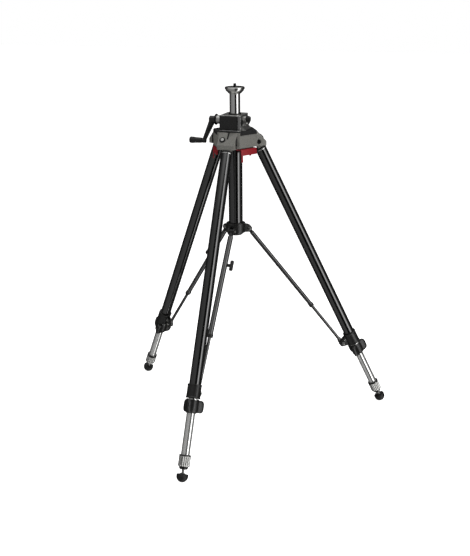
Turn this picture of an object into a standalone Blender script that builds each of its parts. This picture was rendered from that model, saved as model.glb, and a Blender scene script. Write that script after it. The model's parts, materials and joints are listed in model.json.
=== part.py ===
"""Film camera tripod: geared centre column, three telescopic legs and a mid-level spreader.

Units are metres, +Z is up and the feet stand on Z = 0.  The front leg points to -Y.
Every leg is modelled in its own frame: local Z runs up the leg to the hinge, local X
points outwards and local Y runs along the hinge pin.
"""
import math

import bmesh
import bpy
from mathutils import Matrix, Vector

# ---------------------------------------------------------------- driving dimensions
GAP = 0.0003                    # clearance between pieces that seat on each other
LEGS = {"front": -90.0, "right": 30.0, "left": 150.0}   # azimuth of each leg, degrees

HINGE_RADIUS = 0.068            # leg hinge pins, from the column axis
HINGE_HEIGHT = 0.905
SHOULDER_BOTTOM = HINGE_HEIGHT - 0.012
SHOULDER_TOP = HINGE_HEIGHT + 0.035
FOOT_RADIUS = 0.4925            # circle through the centres of the three feet
RUBBER_RADIUS = 0.0173          # dome of the rubber foot

# head plate and column
PLATE_TOP = HINGE_HEIGHT + 0.1645
PLATE_RADIUS = 0.030
PLATE_RIM = 0.007
PLATE_CONE = 0.0125
PLATE_PLUG_LENGTH = 0.020
STUD_RADIUS = 0.00476           # 3/8 inch camera stud
STUD_RISE = 0.010
STUD_DEPTH = 0.022
COLUMN_RADIUS = 0.0163
CONE_FOOT_RADIUS = COLUMN_RADIUS + 0.0022
COLUMN_BORE = 0.009
COLUMN_BOTTOM = PLATE_TOP - 0.3945

# rack and pinion
TOOTH_MODULE = 0.00125
PINION_TEETH = 12
BACKLASH = 0.0003
RACK_BOTTOM = COLUMN_BOTTOM + 0.025
RACK_TOP = PLATE_TOP - 0.0395
RACK_WIDTH = 0.008
RACK_BACK = 0.002               # solid strip behind the teeth
PRESSURE_SLOPE = math.tan(math.radians(20))

# gearbox
BOX_BOTTOM = SHOULDER_TOP + GAP
BOX_TOP = BOX_BOTTOM + 0.0477
BOX_LEFT = -0.036
BOX_RIGHT = 0.030
BOX_FRONT = -0.0375
BOX_BACK = 0.040
BOX_CORNER = 0.007
COVER_THICKNESS = 0.0075
COVER_CHAMFER = 0.0085
COVER_MARGIN = 0.0013
CRANK_HEIGHT = BOX_BOTTOM + 0.0257
SHAFT_RADIUS = 0.0045
SHAFT_BOSS_RADIUS = 0.0135
SHAFT_BOSS_END = -0.066
BEARING_BOSS_END = 0.036
DISC_RADIUS = 0.017
DISC_THICKNESS = 0.004
LOCK_HEIGHT = BOX_BOTTOM + 0.0337
LOCK_KNOB_RADIUS = 0.0095
LOCK_KNOB_LENGTH = 0.012
LOCK_SCREW_RADIUS = 0.003

# crank
CRANK_HUB_RADIUS = 0.0105
CRANK_HUB_LENGTH = 0.018
CRANK_DROP = 0.0670
CRANK_SLANT = 0.030
ARM_TIP_RADIUS = 0.0062
GRIP_LENGTH = 0.040
GRIP_RADIUS = 0.0082
GRIP_END_RADIUS = 0.0100
GRIP_PIN_RADIUS = 0.003

# shoulder casting
SIDE_EDGE = (0.0615, 0.0350)    # end of a side wall, outwards and sideways of a leg
CORNER_ROOT = (0.0640, 0.0285)
CORNER_FRONT = (0.0920, 0.0265)
CORNER_LEAN = 41.8              # degrees the corner's sloping face leans back
CORNER_SLOPE_START = 0.013      # height of the upright edge under the sloping face
SOCKET_DEPTH = 0.022            # how far the centre sleeve enters the casting
POCKET_INNER = 0.0560
PIN_RADIUS = 0.0035
PIN_HEAD_RADIUS = 0.0065
PIN_HEAD = 0.003
PIN_SEAT_HALF = 0.0235          # flat that a pin head seats on, from the leg's plane

# centre sleeve, spreader hub and end cap
SLEEVE_ROOM = 0.0007            # running clearance of the column in the sleeve
SLEEVE_WALL = 0.0048
SLEEVE_RADIUS = COLUMN_RADIUS + SLEEVE_ROOM + SLEEVE_WALL
SLEEVE_BOTTOM = HINGE_HEIGHT - 0.288
HUB_WALL = 0.0082
HUB_RADIUS = SLEEVE_RADIUS + HUB_WALL
HUB_BOTTOM = SLEEVE_BOTTOM + 0.004
HUB_TOP = HUB_BOTTOM + 0.029
# hinge of a spreader arm, radius and height
SPREAD_PIVOT = (HUB_RADIUS + 0.010, HUB_BOTTOM + 0.009)
HUB_PIN_RADIUS = 0.003
LUG_RADIUS = SPREAD_PIVOT[0] + 0.010
LUG_HALF = 0.011
LUG_TOP = HUB_BOTTOM + 0.020
CAP_FLANGE = 0.0045

# legs, measured up from the centre of the rubber foot
LOWER_RADIUS = 0.0095
LOWER_BORE = LOWER_RADIUS - 0.0020
MIDDLE_BORE = LOWER_RADIUS + 0.0005
MIDDLE_RADIUS = MIDDLE_BORE + 0.0027
UPPER_BORE = MIDDLE_RADIUS + 0.0028
UPPER_RADIUS = UPPER_BORE + 0.0017
CAP_DROP = 0.022                # hinge pin to the top face of the tube cap
CAP_HEIGHT = 0.008
FITTING_SPIGOT = 0.040
FITTING_EYE = 0.010
FITTING_HALF = 0.0140
POCKET_HALF = FITTING_HALF + 0.0006   # slot for the leg fitting
NECK_HALF = 0.0088              # the fitting's neck, half its depth in the leg's plane
NECK_ROOM = 0.0017              # room in front of the neck, for the outward swing
CLAMP_BOTTOM = 0.2235
CLAMP_TOP = 0.265
CLAMP_RADIUS = UPPER_RADIUS + 0.0043
CLAMP_FLOOR = 0.0045
LOCK_BOTTOM = 0.181
LOCK_TOP = 0.2225
LOCK_RADIUS = MIDDLE_RADIUS + 0.0073
LOCK_LOBE = LOCK_RADIUS + 0.0130
MIDDLE_BOTTOM = 0.030
COLLAR_BOTTOM = 0.0253
COLLAR_TOP = 0.061
COLLAR_RADIUS = MIDDLE_RADIUS + 0.0033
LOWER_BOTTOM = 0.0195
PLUG_FLANGE_RADIUS = LOWER_RADIUS + 0.0015
PLUG_TOP = 0.045
SPINDLE_RADIUS = 0.004
SPINDLE_TOP = 0.043
FOOT_TOP = 0.006

# spreader arms, measured down the arm from its hub pin
BRACKET_UP = 0.240              # clamp pin, up the leg from the foot
BRACKET_IN = CLAMP_RADIUS + 0.0145              # and inwards from the leg's axis
EAR_HALF = 0.0080
TONGUE_HALF = 0.0030
EAR_GAP = 0.0006
EAR_RADIUS = 0.0105
BOLT_RADIUS = 0.0026
BOLT_HEAD_RADIUS = 0.0048
BOLT_HEAD = 0.003
ARM_RADIUS = 0.0067
ARM_WIDEN = 1.26                # the arm tube is oval, wider across the leg's plane
ARM_START = 0.016
ARM_BORE = 0.0053
ROD_RADIUS = 0.0049
ROD_START = 0.110
EYE_RADIUS = 0.0080
TONGUE_EYE = 0.0100
SLOT_HALF_LENGTH = 0.0072
SLOT_HALF_WIDTH = 0.0060
SLOT_CORNER = 0.0028
WING_AT = 0.112
WING_REACH = 0.0115

# release levers under the shoulder
LEVER_HINGE = (0.038, SHOULDER_BOTTOM - 0.0055)
LEVER_HALF = 0.031
LEVER_THICKNESS = 0.0042
LEVER_REACH = 0.0245
LEVER_LIP = 0.0165
LEVER_PRONG = 0.020

# ---------------------------------------------------------------- derived sizes
FOOT_HEIGHT = RUBBER_RADIUS + 0.0002
LEG_RUN = FOOT_RADIUS - HINGE_RADIUS
LEG_RISE = HINGE_HEIGHT - FOOT_HEIGHT
LEG_LENGTH = math.hypot(LEG_RUN, LEG_RISE)
SPLAY = math.atan2(LEG_RUN, LEG_RISE)
MIDDLE_TOP = LEG_LENGTH - 0.1838
LOWER_TOP = LEG_LENGTH - 0.2138
# the three feet span FOOT_RADIUS in front and half of it behind, so the axis moves back
AXIS_Y = (FOOT_RADIUS - FOOT_RADIUS * math.sin(math.radians(30))) / 2
PITCH_RADIUS = TOOTH_MODULE * PINION_TEETH / 2
RACK_TIP = COLUMN_RADIUS - 2 * GAP   # the teeth stay inside the bores the column runs in
PINION_Y = RACK_TIP - TOOTH_MODULE + PITCH_RADIUS + GAP / 2
ROUND = 20                      # sides of a large round piece
SMALL = 12                      # sides of a small round piece


def bracket_point():
    """Clamp pin of a leg as radius and height in the leg's vertical plane."""
    up = Vector((-math.sin(SPLAY), math.cos(SPLAY)))
    outwards = Vector((math.cos(SPLAY), math.sin(SPLAY)))
    foot = Vector((FOOT_RADIUS, FOOT_HEIGHT))
    return foot + up * BRACKET_UP - outwards * BRACKET_IN


ARM_VECTOR = Vector(SPREAD_PIVOT) - bracket_point()
ARM_LENGTH = ARM_VECTOR.length
ARM_SPLAY = math.atan2(-ARM_VECTOR.x, ARM_VECTOR.y)
ARM_END = ARM_LENGTH - 0.1741


# ---------------------------------------------------------------- scene and materials
for item in list(bpy.data.objects):
    bpy.data.objects.remove(item)


def new_collection(name):
    collection = bpy.data.collections.new(name)
    bpy.context.scene.collection.children.link(collection)
    return collection


TRIPOD = new_collection("camera_tripod")
TOOLS = new_collection("cutters")


def material(name, colour, roughness, metallic):
    mat = bpy.data.materials.new(name)
    mat.use_nodes = True
    shader = mat.node_tree.nodes["Principled BSDF"]
    shader.inputs["Base Color"].default_value = (*colour, 1)
    shader.inputs["Roughness"].default_value = roughness
    shader.inputs["Metallic"].default_value = metallic
    return mat


CAST_GREY = material("cast_grey", (0.30, 0.30, 0.29), 0.55, 0.6)
CAST_DARK = material("cast_dark", (0.07, 0.07, 0.065), 0.5, 0.3)
CAST_BRIGHT = material("cast_bright", (0.62, 0.62, 0.60), 0.4, 0.8)
BLACK_ANODISED = material("black_anodised", (0.015, 0.015, 0.014), 0.25, 0.6)
CHROME = material("chrome", (0.75, 0.75, 0.74), 0.15, 1.0)
STEEL = material("steel", (0.55, 0.55, 0.53), 0.3, 1.0)
BLACK_PLASTIC = material("black_plastic", (0.02, 0.02, 0.02), 0.45, 0.0)
RED_PLASTIC = material("red_plastic", (0.42, 0.02, 0.03), 0.4, 0.0)
RUBBER = material("rubber", (0.012, 0.012, 0.012), 0.8, 0.0)


# ---------------------------------------------------------------- modelling helpers
def add_empty(name, parent=None, place=(0, 0, 0), turn=(0, 0, 0)):
    empty = bpy.data.objects.new(name, None)
    empty.location = place
    empty.rotation_euler = turn
    empty.parent = parent
    TRIPOD.objects.link(empty)
    return empty


def place(name, mesh, parent, mat=None):
    """Put a mesh in the scene as a piece of the tripod, or as a tool if it has no material."""
    item = bpy.data.objects.new(name, mesh)
    item.parent = parent
    if mat is None:
        TOOLS.objects.link(item)
        item.hide_render = True
        item.display_type = "WIRE"
        return item
    TRIPOD.objects.link(item)
    mesh.materials.append(mat)
    mesh.shade_smooth()
    mesh.set_sharp_from_angle(angle=math.radians(35))
    return item


def mesh_from(bm, name):
    mesh = bpy.data.meshes.new(name)
    bm.to_mesh(mesh)
    bm.free()
    return mesh


AXIS_TURN = {
    "X": Matrix.Rotation(math.radians(90), 4, "Y"),
    "Y": Matrix.Rotation(math.radians(-90), 4, "X"),
    "Z": Matrix.Identity(4),
}


def rod(name, parent, axis, centre, low, high, radius, mat=None, end_radius=None, sides=SMALL,
        squash=(1, 1, 1)):
    """A cylinder or cone along an axis, from low to high on that axis."""
    bm = bmesh.new()
    end = radius if end_radius is None else end_radius
    bmesh.ops.create_cone(bm, cap_ends=True, segments=sides, radius1=radius, radius2=end,
                          depth=high - low)
    middle = Matrix.Translation((0, 0, (low + high) / 2))
    stretch = Matrix.Diagonal((*squash, 1))
    bm.transform(Matrix.Translation(centre) @ stretch @ AXIS_TURN[axis] @ middle)
    return place(name, mesh_from(bm, name), parent, mat)


def block(name, parent, low, high, mat=None):
    """A box between two opposite corners."""
    bm = bmesh.new()
    bmesh.ops.create_cube(bm, size=1)
    size = Vector(high) - Vector(low)
    middle = (Vector(high) + Vector(low)) / 2
    bm.transform(Matrix.Translation(middle) @ Matrix.Diagonal((*size, 1)))
    return place(name, mesh_from(bm, name), parent, mat)


DRAWING_SCALE = 100             # outlines are filled this much larger, which keeps fine teeth


def plate(name, parent, outline, low, high, mat=None, turn=None):
    """A flat outline in X and Y, extruded in Z from low to high, then turned."""
    curve = bpy.data.curves.new(name, "CURVE")
    curve.dimensions = "2D"
    curve.fill_mode = "BOTH"
    curve.extrude = DRAWING_SCALE * (high - low) / 2
    spline = curve.splines.new("POLY")
    spline.points.add(len(outline) - 1)
    for point, (x, y) in zip(spline.points, outline):
        point.co = (DRAWING_SCALE * x, DRAWING_SCALE * y, 0, 1)
    spline.use_cyclic_u = True
    guide = bpy.data.objects.new(name + "_outline", curve)
    TOOLS.objects.link(guide)
    bpy.context.view_layer.update()
    evaluated = guide.evaluated_get(bpy.context.evaluated_depsgraph_get())
    mesh = bpy.data.meshes.new_from_object(evaluated)
    mesh.name = name
    bpy.data.objects.remove(guide)
    bm = bmesh.new()
    bm.from_mesh(mesh)
    bmesh.ops.remove_doubles(bm, verts=bm.verts, dist=0.001)
    bm.transform(Matrix.Translation((0, 0, (low + high) / 2)) @ Matrix.Scale(1 / DRAWING_SCALE, 4))
    if turn is not None:
        bm.transform(turn)
    bmesh.ops.recalc_face_normals(bm, faces=bm.faces)
    bm.to_mesh(mesh)
    bm.free()
    mesh.materials.clear()
    return place(name, mesh, parent, mat)


def turned(name, parent, profile, mat, closed=True, sides=ROUND, height=0.0):
    """A profile of (radius, height) points turned about local Z, run down its outer side."""
    mesh = bpy.data.meshes.new(name)
    points = [(radius, 0, height + z) for radius, z in profile]
    edges = [(i, i + 1) for i in range(len(points) - 1)]
    if closed:
        edges.append((len(points) - 1, 0))
    mesh.from_pydata(points, edges, [])
    item = place(name, mesh, parent, mat)
    screw = item.modifiers.new("turn", "SCREW")
    screw.axis = "Z"
    screw.steps = sides
    screw.render_steps = sides
    screw.use_merge_vertices = True
    screw.merge_threshold = 0.00001
    return item


def tube(name, parent, radius, bore, low, high, mat, sides=ROUND):
    """A plain tube along local Z."""
    profile = [(radius, high), (radius, low), (bore, low), (bore, high)]
    return turned(name, parent, profile, mat, sides=sides)


def boolean(item, tool, operation):
    step = item.modifiers.new(tool.name, "BOOLEAN")
    step.operation = operation
    step.object = tool


def join(item, *tools):
    for tool in tools:
        boolean(item, tool, "UNION")


def cut(item, *tools):
    for tool in tools:
        boolean(item, tool, "DIFFERENCE")


def rounded_rectangle(left, right, front, back, corner, steps=4):
    """Outline of a rectangle with quarter-circle corners, counter-clockwise."""
    outline = []
    corners = ((right - corner, back - corner, 0), (left + corner, back - corner, 90),
               (left + corner, front + corner, 180), (right - corner, front + corner, 270))
    for x, y, start in corners:
        for step in range(steps + 1):
            angle = math.radians(start + 90 * step / steps)
            outline.append((x + corner * math.cos(angle), y + corner * math.sin(angle)))
    return outline


# ---------------------------------------------------------------- head plate and column
root = add_empty("axis", place=(0, AXIS_Y, 0))
column = add_empty("column_axis", root)


def make_head():
    rim_bottom = PLATE_TOP - PLATE_RIM
    cone_bottom = rim_bottom - PLATE_CONE
    plug_bottom = cone_bottom - PLATE_PLUG_LENGTH
    stud_hole = STUD_RADIUS + GAP
    bevel = 0.0008
    turned("head_plate", column, [
        (stud_hole, PLATE_TOP), (PLATE_RADIUS - bevel, PLATE_TOP), (PLATE_RADIUS, PLATE_TOP - bevel),
        (PLATE_RADIUS, rim_bottom + bevel), (PLATE_RADIUS - bevel, rim_bottom),
        (PLATE_RADIUS - 0.003, rim_bottom), (CONE_FOOT_RADIUS, cone_bottom),
        (COLUMN_BORE - GAP, cone_bottom), (COLUMN_BORE - GAP, plug_bottom),
        (stud_hole, plug_bottom)], CHROME)
    stud_top = PLATE_TOP + STUD_RISE
    tip = STUD_RADIUS * 0.8
    turned("camera_stud", column, [
        (0, stud_top), (tip, stud_top), (STUD_RADIUS, stud_top - 0.001),
        (STUD_RADIUS, PLATE_TOP - STUD_DEPTH), (0, PLATE_TOP - STUD_DEPTH)],
        STEEL, closed=False, sides=SMALL)
    column_top = cone_bottom - GAP
    column_tube = tube("column_tube", column, COLUMN_RADIUS, COLUMN_BORE, COLUMN_BOTTOM,
                       column_top, CHROME)
    half = RACK_WIDTH / 2 + GAP
    floor = RACK_TIP - 2.25 * TOOTH_MODULE - RACK_BACK - GAP
    slot = block("rack_slot", column, (-half, floor, RACK_BOTTOM - GAP),
                 (half, COLUMN_RADIUS + 0.002, RACK_TOP + GAP))
    cut(column_tube, slot)


def make_rack():
    """Straight rack in the column's back: one trapezoid gap cut in each pitch."""
    pitch = math.pi * TOOTH_MODULE
    half_pitch_line = pitch / 4 + BACKLASH / 2
    depth = 2.25 * TOOTH_MODULE
    root_y = RACK_TIP - depth
    over = 0.001                    # the cutter stands this far out of the teeth
    root_half = half_pitch_line - 1.25 * TOOTH_MODULE * PRESSURE_SLOPE
    open_half = half_pitch_line + (TOOTH_MODULE + over) * PRESSURE_SLOPE
    rack = block("column_rack", column, (-RACK_WIDTH / 2, root_y - RACK_BACK, RACK_BOTTOM),
                 (RACK_WIDTH / 2, RACK_TIP, RACK_TOP), STEEL)
    below = int((CRANK_HEIGHT - RACK_BOTTOM - pitch) / pitch)
    above = int((RACK_TOP - CRANK_HEIGHT - pitch) / pitch)
    outline = [(root_y, -root_half), (RACK_TIP + over, -open_half),
               (RACK_TIP + over, open_half), (root_y, root_half)]
    # outline X and Y become world Y and Z, and its thickness becomes world X
    turn = Matrix(((0, 0, 1, 0), (1, 0, 0, 0), (0, 1, 0, 0), (0, 0, 0, 1)))
    gap = plate("rack_gap", column, outline, -RACK_WIDTH, RACK_WIDTH, turn=turn)
    gap.location = (0, 0, CRANK_HEIGHT - below * pitch)
    gaps = gap.modifiers.new("gaps", "ARRAY")
    gaps.count = below + above + 1
    gaps.use_relative_offset = False
    gaps.use_constant_offset = True
    gaps.constant_offset_displace = (0, 0, pitch)
    cut(rack, gap)


make_head()
make_rack()

# ---------------------------------------------------------------- gearbox
crank = add_empty("crank_axis", root, (0, PINION_Y, CRANK_HEIGHT))
lock = add_empty("lock_axis", root, (0, 0, LOCK_HEIGHT))


def pinion_outline():
    """Twelve trapezoid teeth on a circle, with one tooth pointing at the rack."""
    pitch = math.pi * TOOTH_MODULE
    root_radius = PITCH_RADIUS - 1.25 * TOOTH_MODULE
    tip_radius = PITCH_RADIUS + TOOTH_MODULE - GAP
    half = pitch / 4 - BACKLASH / 2
    tip_half = (half - 0.9 * TOOTH_MODULE * PRESSURE_SLOPE) / tip_radius
    root_half = (half + 0.5 * TOOTH_MODULE * PRESSURE_SLOPE) / root_radius
    outline = []
    for tooth in range(PINION_TEETH):
        angle = -math.pi / 2 + 2 * math.pi * tooth / PINION_TEETH
        for offset, radius in ((-root_half, root_radius), (-tip_half, tip_radius),
                               (tip_half, tip_radius), (root_half, root_radius)):
            outline.append((radius * math.cos(angle + offset), radius * math.sin(angle + offset)))
    return outline


def make_gearbox():
    outline = rounded_rectangle(BOX_LEFT, BOX_RIGHT, BOX_FRONT, BOX_BACK, BOX_CORNER)
    housing = plate("gearbox_housing", root, outline, BOX_BOTTOM, BOX_TOP, CAST_BRIGHT)
    shaft_at = (0, PINION_Y, CRANK_HEIGHT)
    join(housing,
         rod("shaft_boss", root, "X", shaft_at, SHAFT_BOSS_END, BOX_LEFT + 0.01,
             SHAFT_BOSS_RADIUS, sides=16),
         rod("bearing_boss", root, "X", shaft_at, BOX_RIGHT - 0.01, BEARING_BOSS_END,
             SHAFT_BOSS_RADIUS, sides=16),
         rod("lock_boss", root, "X", (0, 0, LOCK_HEIGHT), BOX_RIGHT - 0.01, BEARING_BOSS_END,
             LOCK_KNOB_RADIUS * 0.9))
    pinion_room = PITCH_RADIUS + TOOTH_MODULE + 0.0006
    pocket_half = RACK_WIDTH / 2 + 0.0006
    cut(housing,
        rod("column_bore", root, "Z", (0, 0, 0), BOX_BOTTOM - 0.01, BOX_TOP + 0.01,
            COLUMN_RADIUS + GAP, sides=ROUND),
        rod("pinion_pocket", root, "X", shaft_at, -pocket_half, BEARING_BOSS_END + 0.01,
            pinion_room, sides=16),
        rod("shaft_bore", root, "X", shaft_at, SHAFT_BOSS_END - 0.01, 0, SHAFT_RADIUS + GAP),
        rod("lock_bore", root, "X", (0, 0, LOCK_HEIGHT), 0.01, BEARING_BOSS_END + 0.01,
            LOCK_SCREW_RADIUS + GAP))
    cap_end = BEARING_BOSS_END + 0.003
    # the cap fills the pocket from where it is clear of the column's side
    reach = PINION_Y - pinion_room
    cap_start = math.sqrt(COLUMN_RADIUS ** 2 - reach ** 2) + 0.001
    cap = rod("bearing_cap", root, "X", shaft_at, cap_start, BEARING_BOSS_END,
              pinion_room - GAP, BLACK_PLASTIC, sides=16)
    join(cap, rod("bearing_cap_head", root, "X", shaft_at, BEARING_BOSS_END + GAP - 0.001,
                  cap_end, pinion_room - GAP - 0.0005, sides=16))
    cut(cap, rod("bearing_hole", root, "X", shaft_at, 0, BEARING_BOSS_END - 0.006,
                 SHAFT_RADIUS + GAP))


def make_cover():
    back = BOX_FRONT - GAP
    front = back - COVER_THICKNESS
    right = BOX_RIGHT
    outline = [(BOX_LEFT, back), (BOX_LEFT + 0.0015, front), (right - COVER_CHAMFER, front),
               (right, back)]
    plate("gearbox_cover", root, outline, BOX_BOTTOM + COVER_MARGIN, BOX_TOP - COVER_MARGIN,
          BLACK_PLASTIC)


def make_lock_knob():
    seat = BEARING_BOSS_END + 2 * GAP
    knob_end = seat + LOCK_KNOB_LENGTH
    knob = rod("column_lock_knob", lock, "X", (0, 0, 0), seat, knob_end, LOCK_KNOB_RADIUS,
               BLACK_PLASTIC, end_radius=LOCK_KNOB_RADIUS * 0.85, sides=16)
    join(knob, rod("lock_screw", lock, "X", (0, 0, 0), COLUMN_RADIUS + GAP * 2, seat + 0.002,
                   LOCK_SCREW_RADIUS))


def make_crank():
    """Shaft with its pinion, slanted arm, and a grip that spins on the arm's pin."""
    disc_face = SHAFT_BOSS_END - GAP
    hub_face = disc_face - DISC_THICKNESS - GAP
    hub_end = hub_face - CRANK_HUB_LENGTH
    blind_end = hub_end + 0.003
    shaft = rod("crank_shaft", crank, "X", (0, 0, 0), blind_end + GAP,
                BEARING_BOSS_END - 0.008, SHAFT_RADIUS, BLACK_PLASTIC)
    # outline X and Y become local Y and Z, and its thickness becomes local X
    turn = Matrix(((0, 0, 1, 0), (0, -1, 0, 0), (1, 0, 0, 0), (0, 0, 0, 1)))
    half = RACK_WIDTH / 2
    pinion = plate("pinion", crank, pinion_outline(), -half, half, turn=turn @ Matrix.Rotation(
        math.radians(180), 4, "Z"))
    disc = rod("shaft_disc", crank, "X", (0, 0, 0), disc_face - DISC_THICKNESS, disc_face,
               DISC_RADIUS, sides=16)
    join(shaft, pinion, disc)

    hub_middle = (hub_face + hub_end) / 2
    tip = (hub_middle - CRANK_SLANT, 0, -CRANK_DROP)
    arm = rod("crank_arm", crank, "X", (0, 0, 0), hub_end, hub_face, CRANK_HUB_RADIUS, CAST_DARK,
              sides=16)
    lean = math.atan2(CRANK_SLANT, CRANK_DROP)
    length = math.hypot(CRANK_SLANT, CRANK_DROP)
    beam = rod("crank_beam", crank, "Z", (0, 0, 0), -length, 0, ARM_TIP_RADIUS,
               end_radius=CRANK_HUB_LENGTH * 0.46)
    beam.location = (hub_middle, 0, 0)
    beam.rotation_euler = (0, lean, 0)
    grip_face = tip[0] - 0.0065
    boss = rod("grip_boss", crank, "X", (0, 0, tip[2]), grip_face, tip[0] + 0.006, 0.0075)
    pin = rod("grip_pin", crank, "X", (0, 0, tip[2]), grip_face - 0.030, tip[0], GRIP_PIN_RADIUS)
    join(arm, beam, boss, pin)
    cut(arm, rod("arm_bore", crank, "X", (0, 0, 0), blind_end, hub_face + 0.01,
                 SHAFT_RADIUS + GAP))

    grip_axis = add_empty("crank_grip_axis", crank, (0, 0, tip[2]))
    start = grip_face - GAP
    end = start - GRIP_LENGTH
    grip = rod("crank_grip", grip_axis, "X", (0, 0, 0), end, start, GRIP_END_RADIUS,
               BLACK_PLASTIC, end_radius=GRIP_RADIUS, sides=16)
    cut(grip, rod("grip_bore", grip_axis, "X", (0, 0, 0), grip_face - 0.030 - 2 * GAP,
                  start + 0.01, GRIP_PIN_RADIUS + GAP))


make_gearbox()
make_cover()
make_lock_knob()
make_crank()


# ---------------------------------------------------------------- shoulder, sleeve, hub
def around(outline_half):
    """Repeat points given outwards and sideways of a leg at every leg, counter-clockwise."""
    outline = []
    for azimuth in sorted(LEGS.values()):
        angle = math.radians(azimuth)
        for out, side in outline_half:
            outline.append((out * math.cos(angle) - side * math.sin(angle),
                            out * math.sin(angle) + side * math.cos(angle)))
    return outline


def make_shoulder():
    half = [SIDE_EDGE, CORNER_ROOT, CORNER_FRONT]
    corner = [(out, -side) for out, side in half] + [(out, side) for out, side in reversed(half)]
    shoulder = plate("shoulder_casting", root, around(corner), SHOULDER_BOTTOM, SHOULDER_TOP,
                     CAST_GREY)
    cut(shoulder,
        rod("shoulder_bore", root, "Z", (0, 0, 0), SHOULDER_BOTTOM - 0.01, SHOULDER_TOP + 0.01,
            COLUMN_RADIUS + GAP, sides=ROUND),
        rod("sleeve_socket", root, "Z", (0, 0, 0), SHOULDER_BOTTOM - 0.01,
            SHOULDER_BOTTOM + SOCKET_DEPTH + GAP, SLEEVE_RADIUS + GAP, sides=ROUND))
    for leg, azimuth in LEGS.items():
        spot = add_empty(f"{leg}_corner", root, (0, 0, 0), (0, 0, math.radians(azimuth)))
        lean = math.radians(CORNER_LEAN)
        wedge = block(f"{leg}_front_cut", spot, (0, -0.05, -0.05), (0.05, 0.05, 0.10))
        wedge.location = (CORNER_FRONT[0], 0, SHOULDER_BOTTOM + CORNER_SLOPE_START)
        wedge.rotation_euler = (0, -lean, 0)
        pocket_top = HINGE_HEIGHT + FITTING_EYE + 0.0015
        pocket = block(f"{leg}_pocket", spot, (POCKET_INNER, -POCKET_HALF, SHOULDER_BOTTOM - 0.01),
                       (HINGE_RADIUS + FITTING_EYE + 0.0007, POCKET_HALF, pocket_top))
        hinge = (HINGE_RADIUS, 0, HINGE_HEIGHT)
        neck_side = POCKET_HALF - 0.0003    # a little inside the pocket walls, so no faces meet
        neck_slot = block(f"{leg}_neck_slot", spot, (-NECK_HALF, -neck_side, -0.03),
                          (NECK_HALF + NECK_ROOM, neck_side, 0))
        neck_slot.location = hinge
        neck_slot.rotation_euler = (0, -SPLAY, 0)
        bore = rod(f"{leg}_pin_bore", spot, "Y", hinge, -0.05, 0.05, PIN_RADIUS + GAP)
        seats = [rod(f"{leg}_seat_{side}", spot, "Y", hinge, *sorted((side * PIN_SEAT_HALF,
                                                                    side * 0.05)),
                     PIN_HEAD_RADIUS + 0.001) for side in (-1, 1)]
        cut(shoulder, wedge, pocket, neck_slot, bore, *seats)


def make_sleeve():
    sleeve_top = SHOULDER_BOTTOM + SOCKET_DEPTH
    tube("centre_sleeve", root, SLEEVE_RADIUS, SLEEVE_RADIUS - SLEEVE_WALL, SLEEVE_BOTTOM,
         sleeve_top, BLACK_ANODISED)
    cap_bottom = SLEEVE_BOTTOM - GAP - CAP_FLANGE
    plug = SLEEVE_RADIUS - SLEEVE_WALL - GAP
    turned("sleeve_end_cap", root, [
        (0, SLEEVE_BOTTOM + 0.006), (plug, SLEEVE_BOTTOM + 0.006), (plug, SLEEVE_BOTTOM - GAP),
        (SLEEVE_RADIUS, SLEEVE_BOTTOM - GAP), (SLEEVE_RADIUS - 0.002, cap_bottom),
        (0, cap_bottom)], BLACK_PLASTIC, closed=False)


def make_hub():
    hub = rod("spreader_hub", root, "Z", (0, 0, 0), HUB_BOTTOM, HUB_TOP, HUB_RADIUS, CAST_DARK,
              sides=ROUND)
    slot_half = 0.0063
    for leg, azimuth in LEGS.items():
        spot = add_empty(f"{leg}_lug", root, (0, 0, 0), (0, 0, math.radians(azimuth)))
        lug = block(f"{leg}_lug_block", spot, (SLEEVE_RADIUS + 0.002, -LUG_HALF, HUB_BOTTOM - 0.001),
                    (LUG_RADIUS, LUG_HALF, LUG_TOP))
        slot = block(f"{leg}_lug_slot", spot, (HUB_RADIUS + 0.0004, -slot_half, HUB_BOTTOM - 0.01),
                     (LUG_RADIUS + 0.01, slot_half, HUB_TOP + 0.01))
        pin = rod(f"{leg}_hub_pin", spot, "Y", (SPREAD_PIVOT[0], 0, SPREAD_PIVOT[1]),
                  -LUG_HALF - 0.0015, LUG_HALF + 0.0015, HUB_PIN_RADIUS)
        join(hub, lug)
        cut(hub, slot)
        join(hub, pin)
    cut(hub, rod("hub_bore", root, "Z", (0, 0, 0), HUB_BOTTOM - 0.01, HUB_TOP + 0.01,
                 SLEEVE_RADIUS + GAP, sides=ROUND))


make_shoulder()
make_sleeve()
make_hub()


# ---------------------------------------------------------------- legs
def lobed_outline(count=36):
    """Round grip with three smooth lobes, one of them pointing outwards."""
    outline = []
    for step in range(count):
        angle = 2 * math.pi * step / count
        lobe = abs(math.cos(1.5 * angle)) ** 6
        radius = LOCK_RADIUS + (LOCK_LOBE - LOCK_RADIUS) * lobe
        outline.append((radius * math.cos(angle), radius * math.sin(angle)))
    return outline


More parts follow.
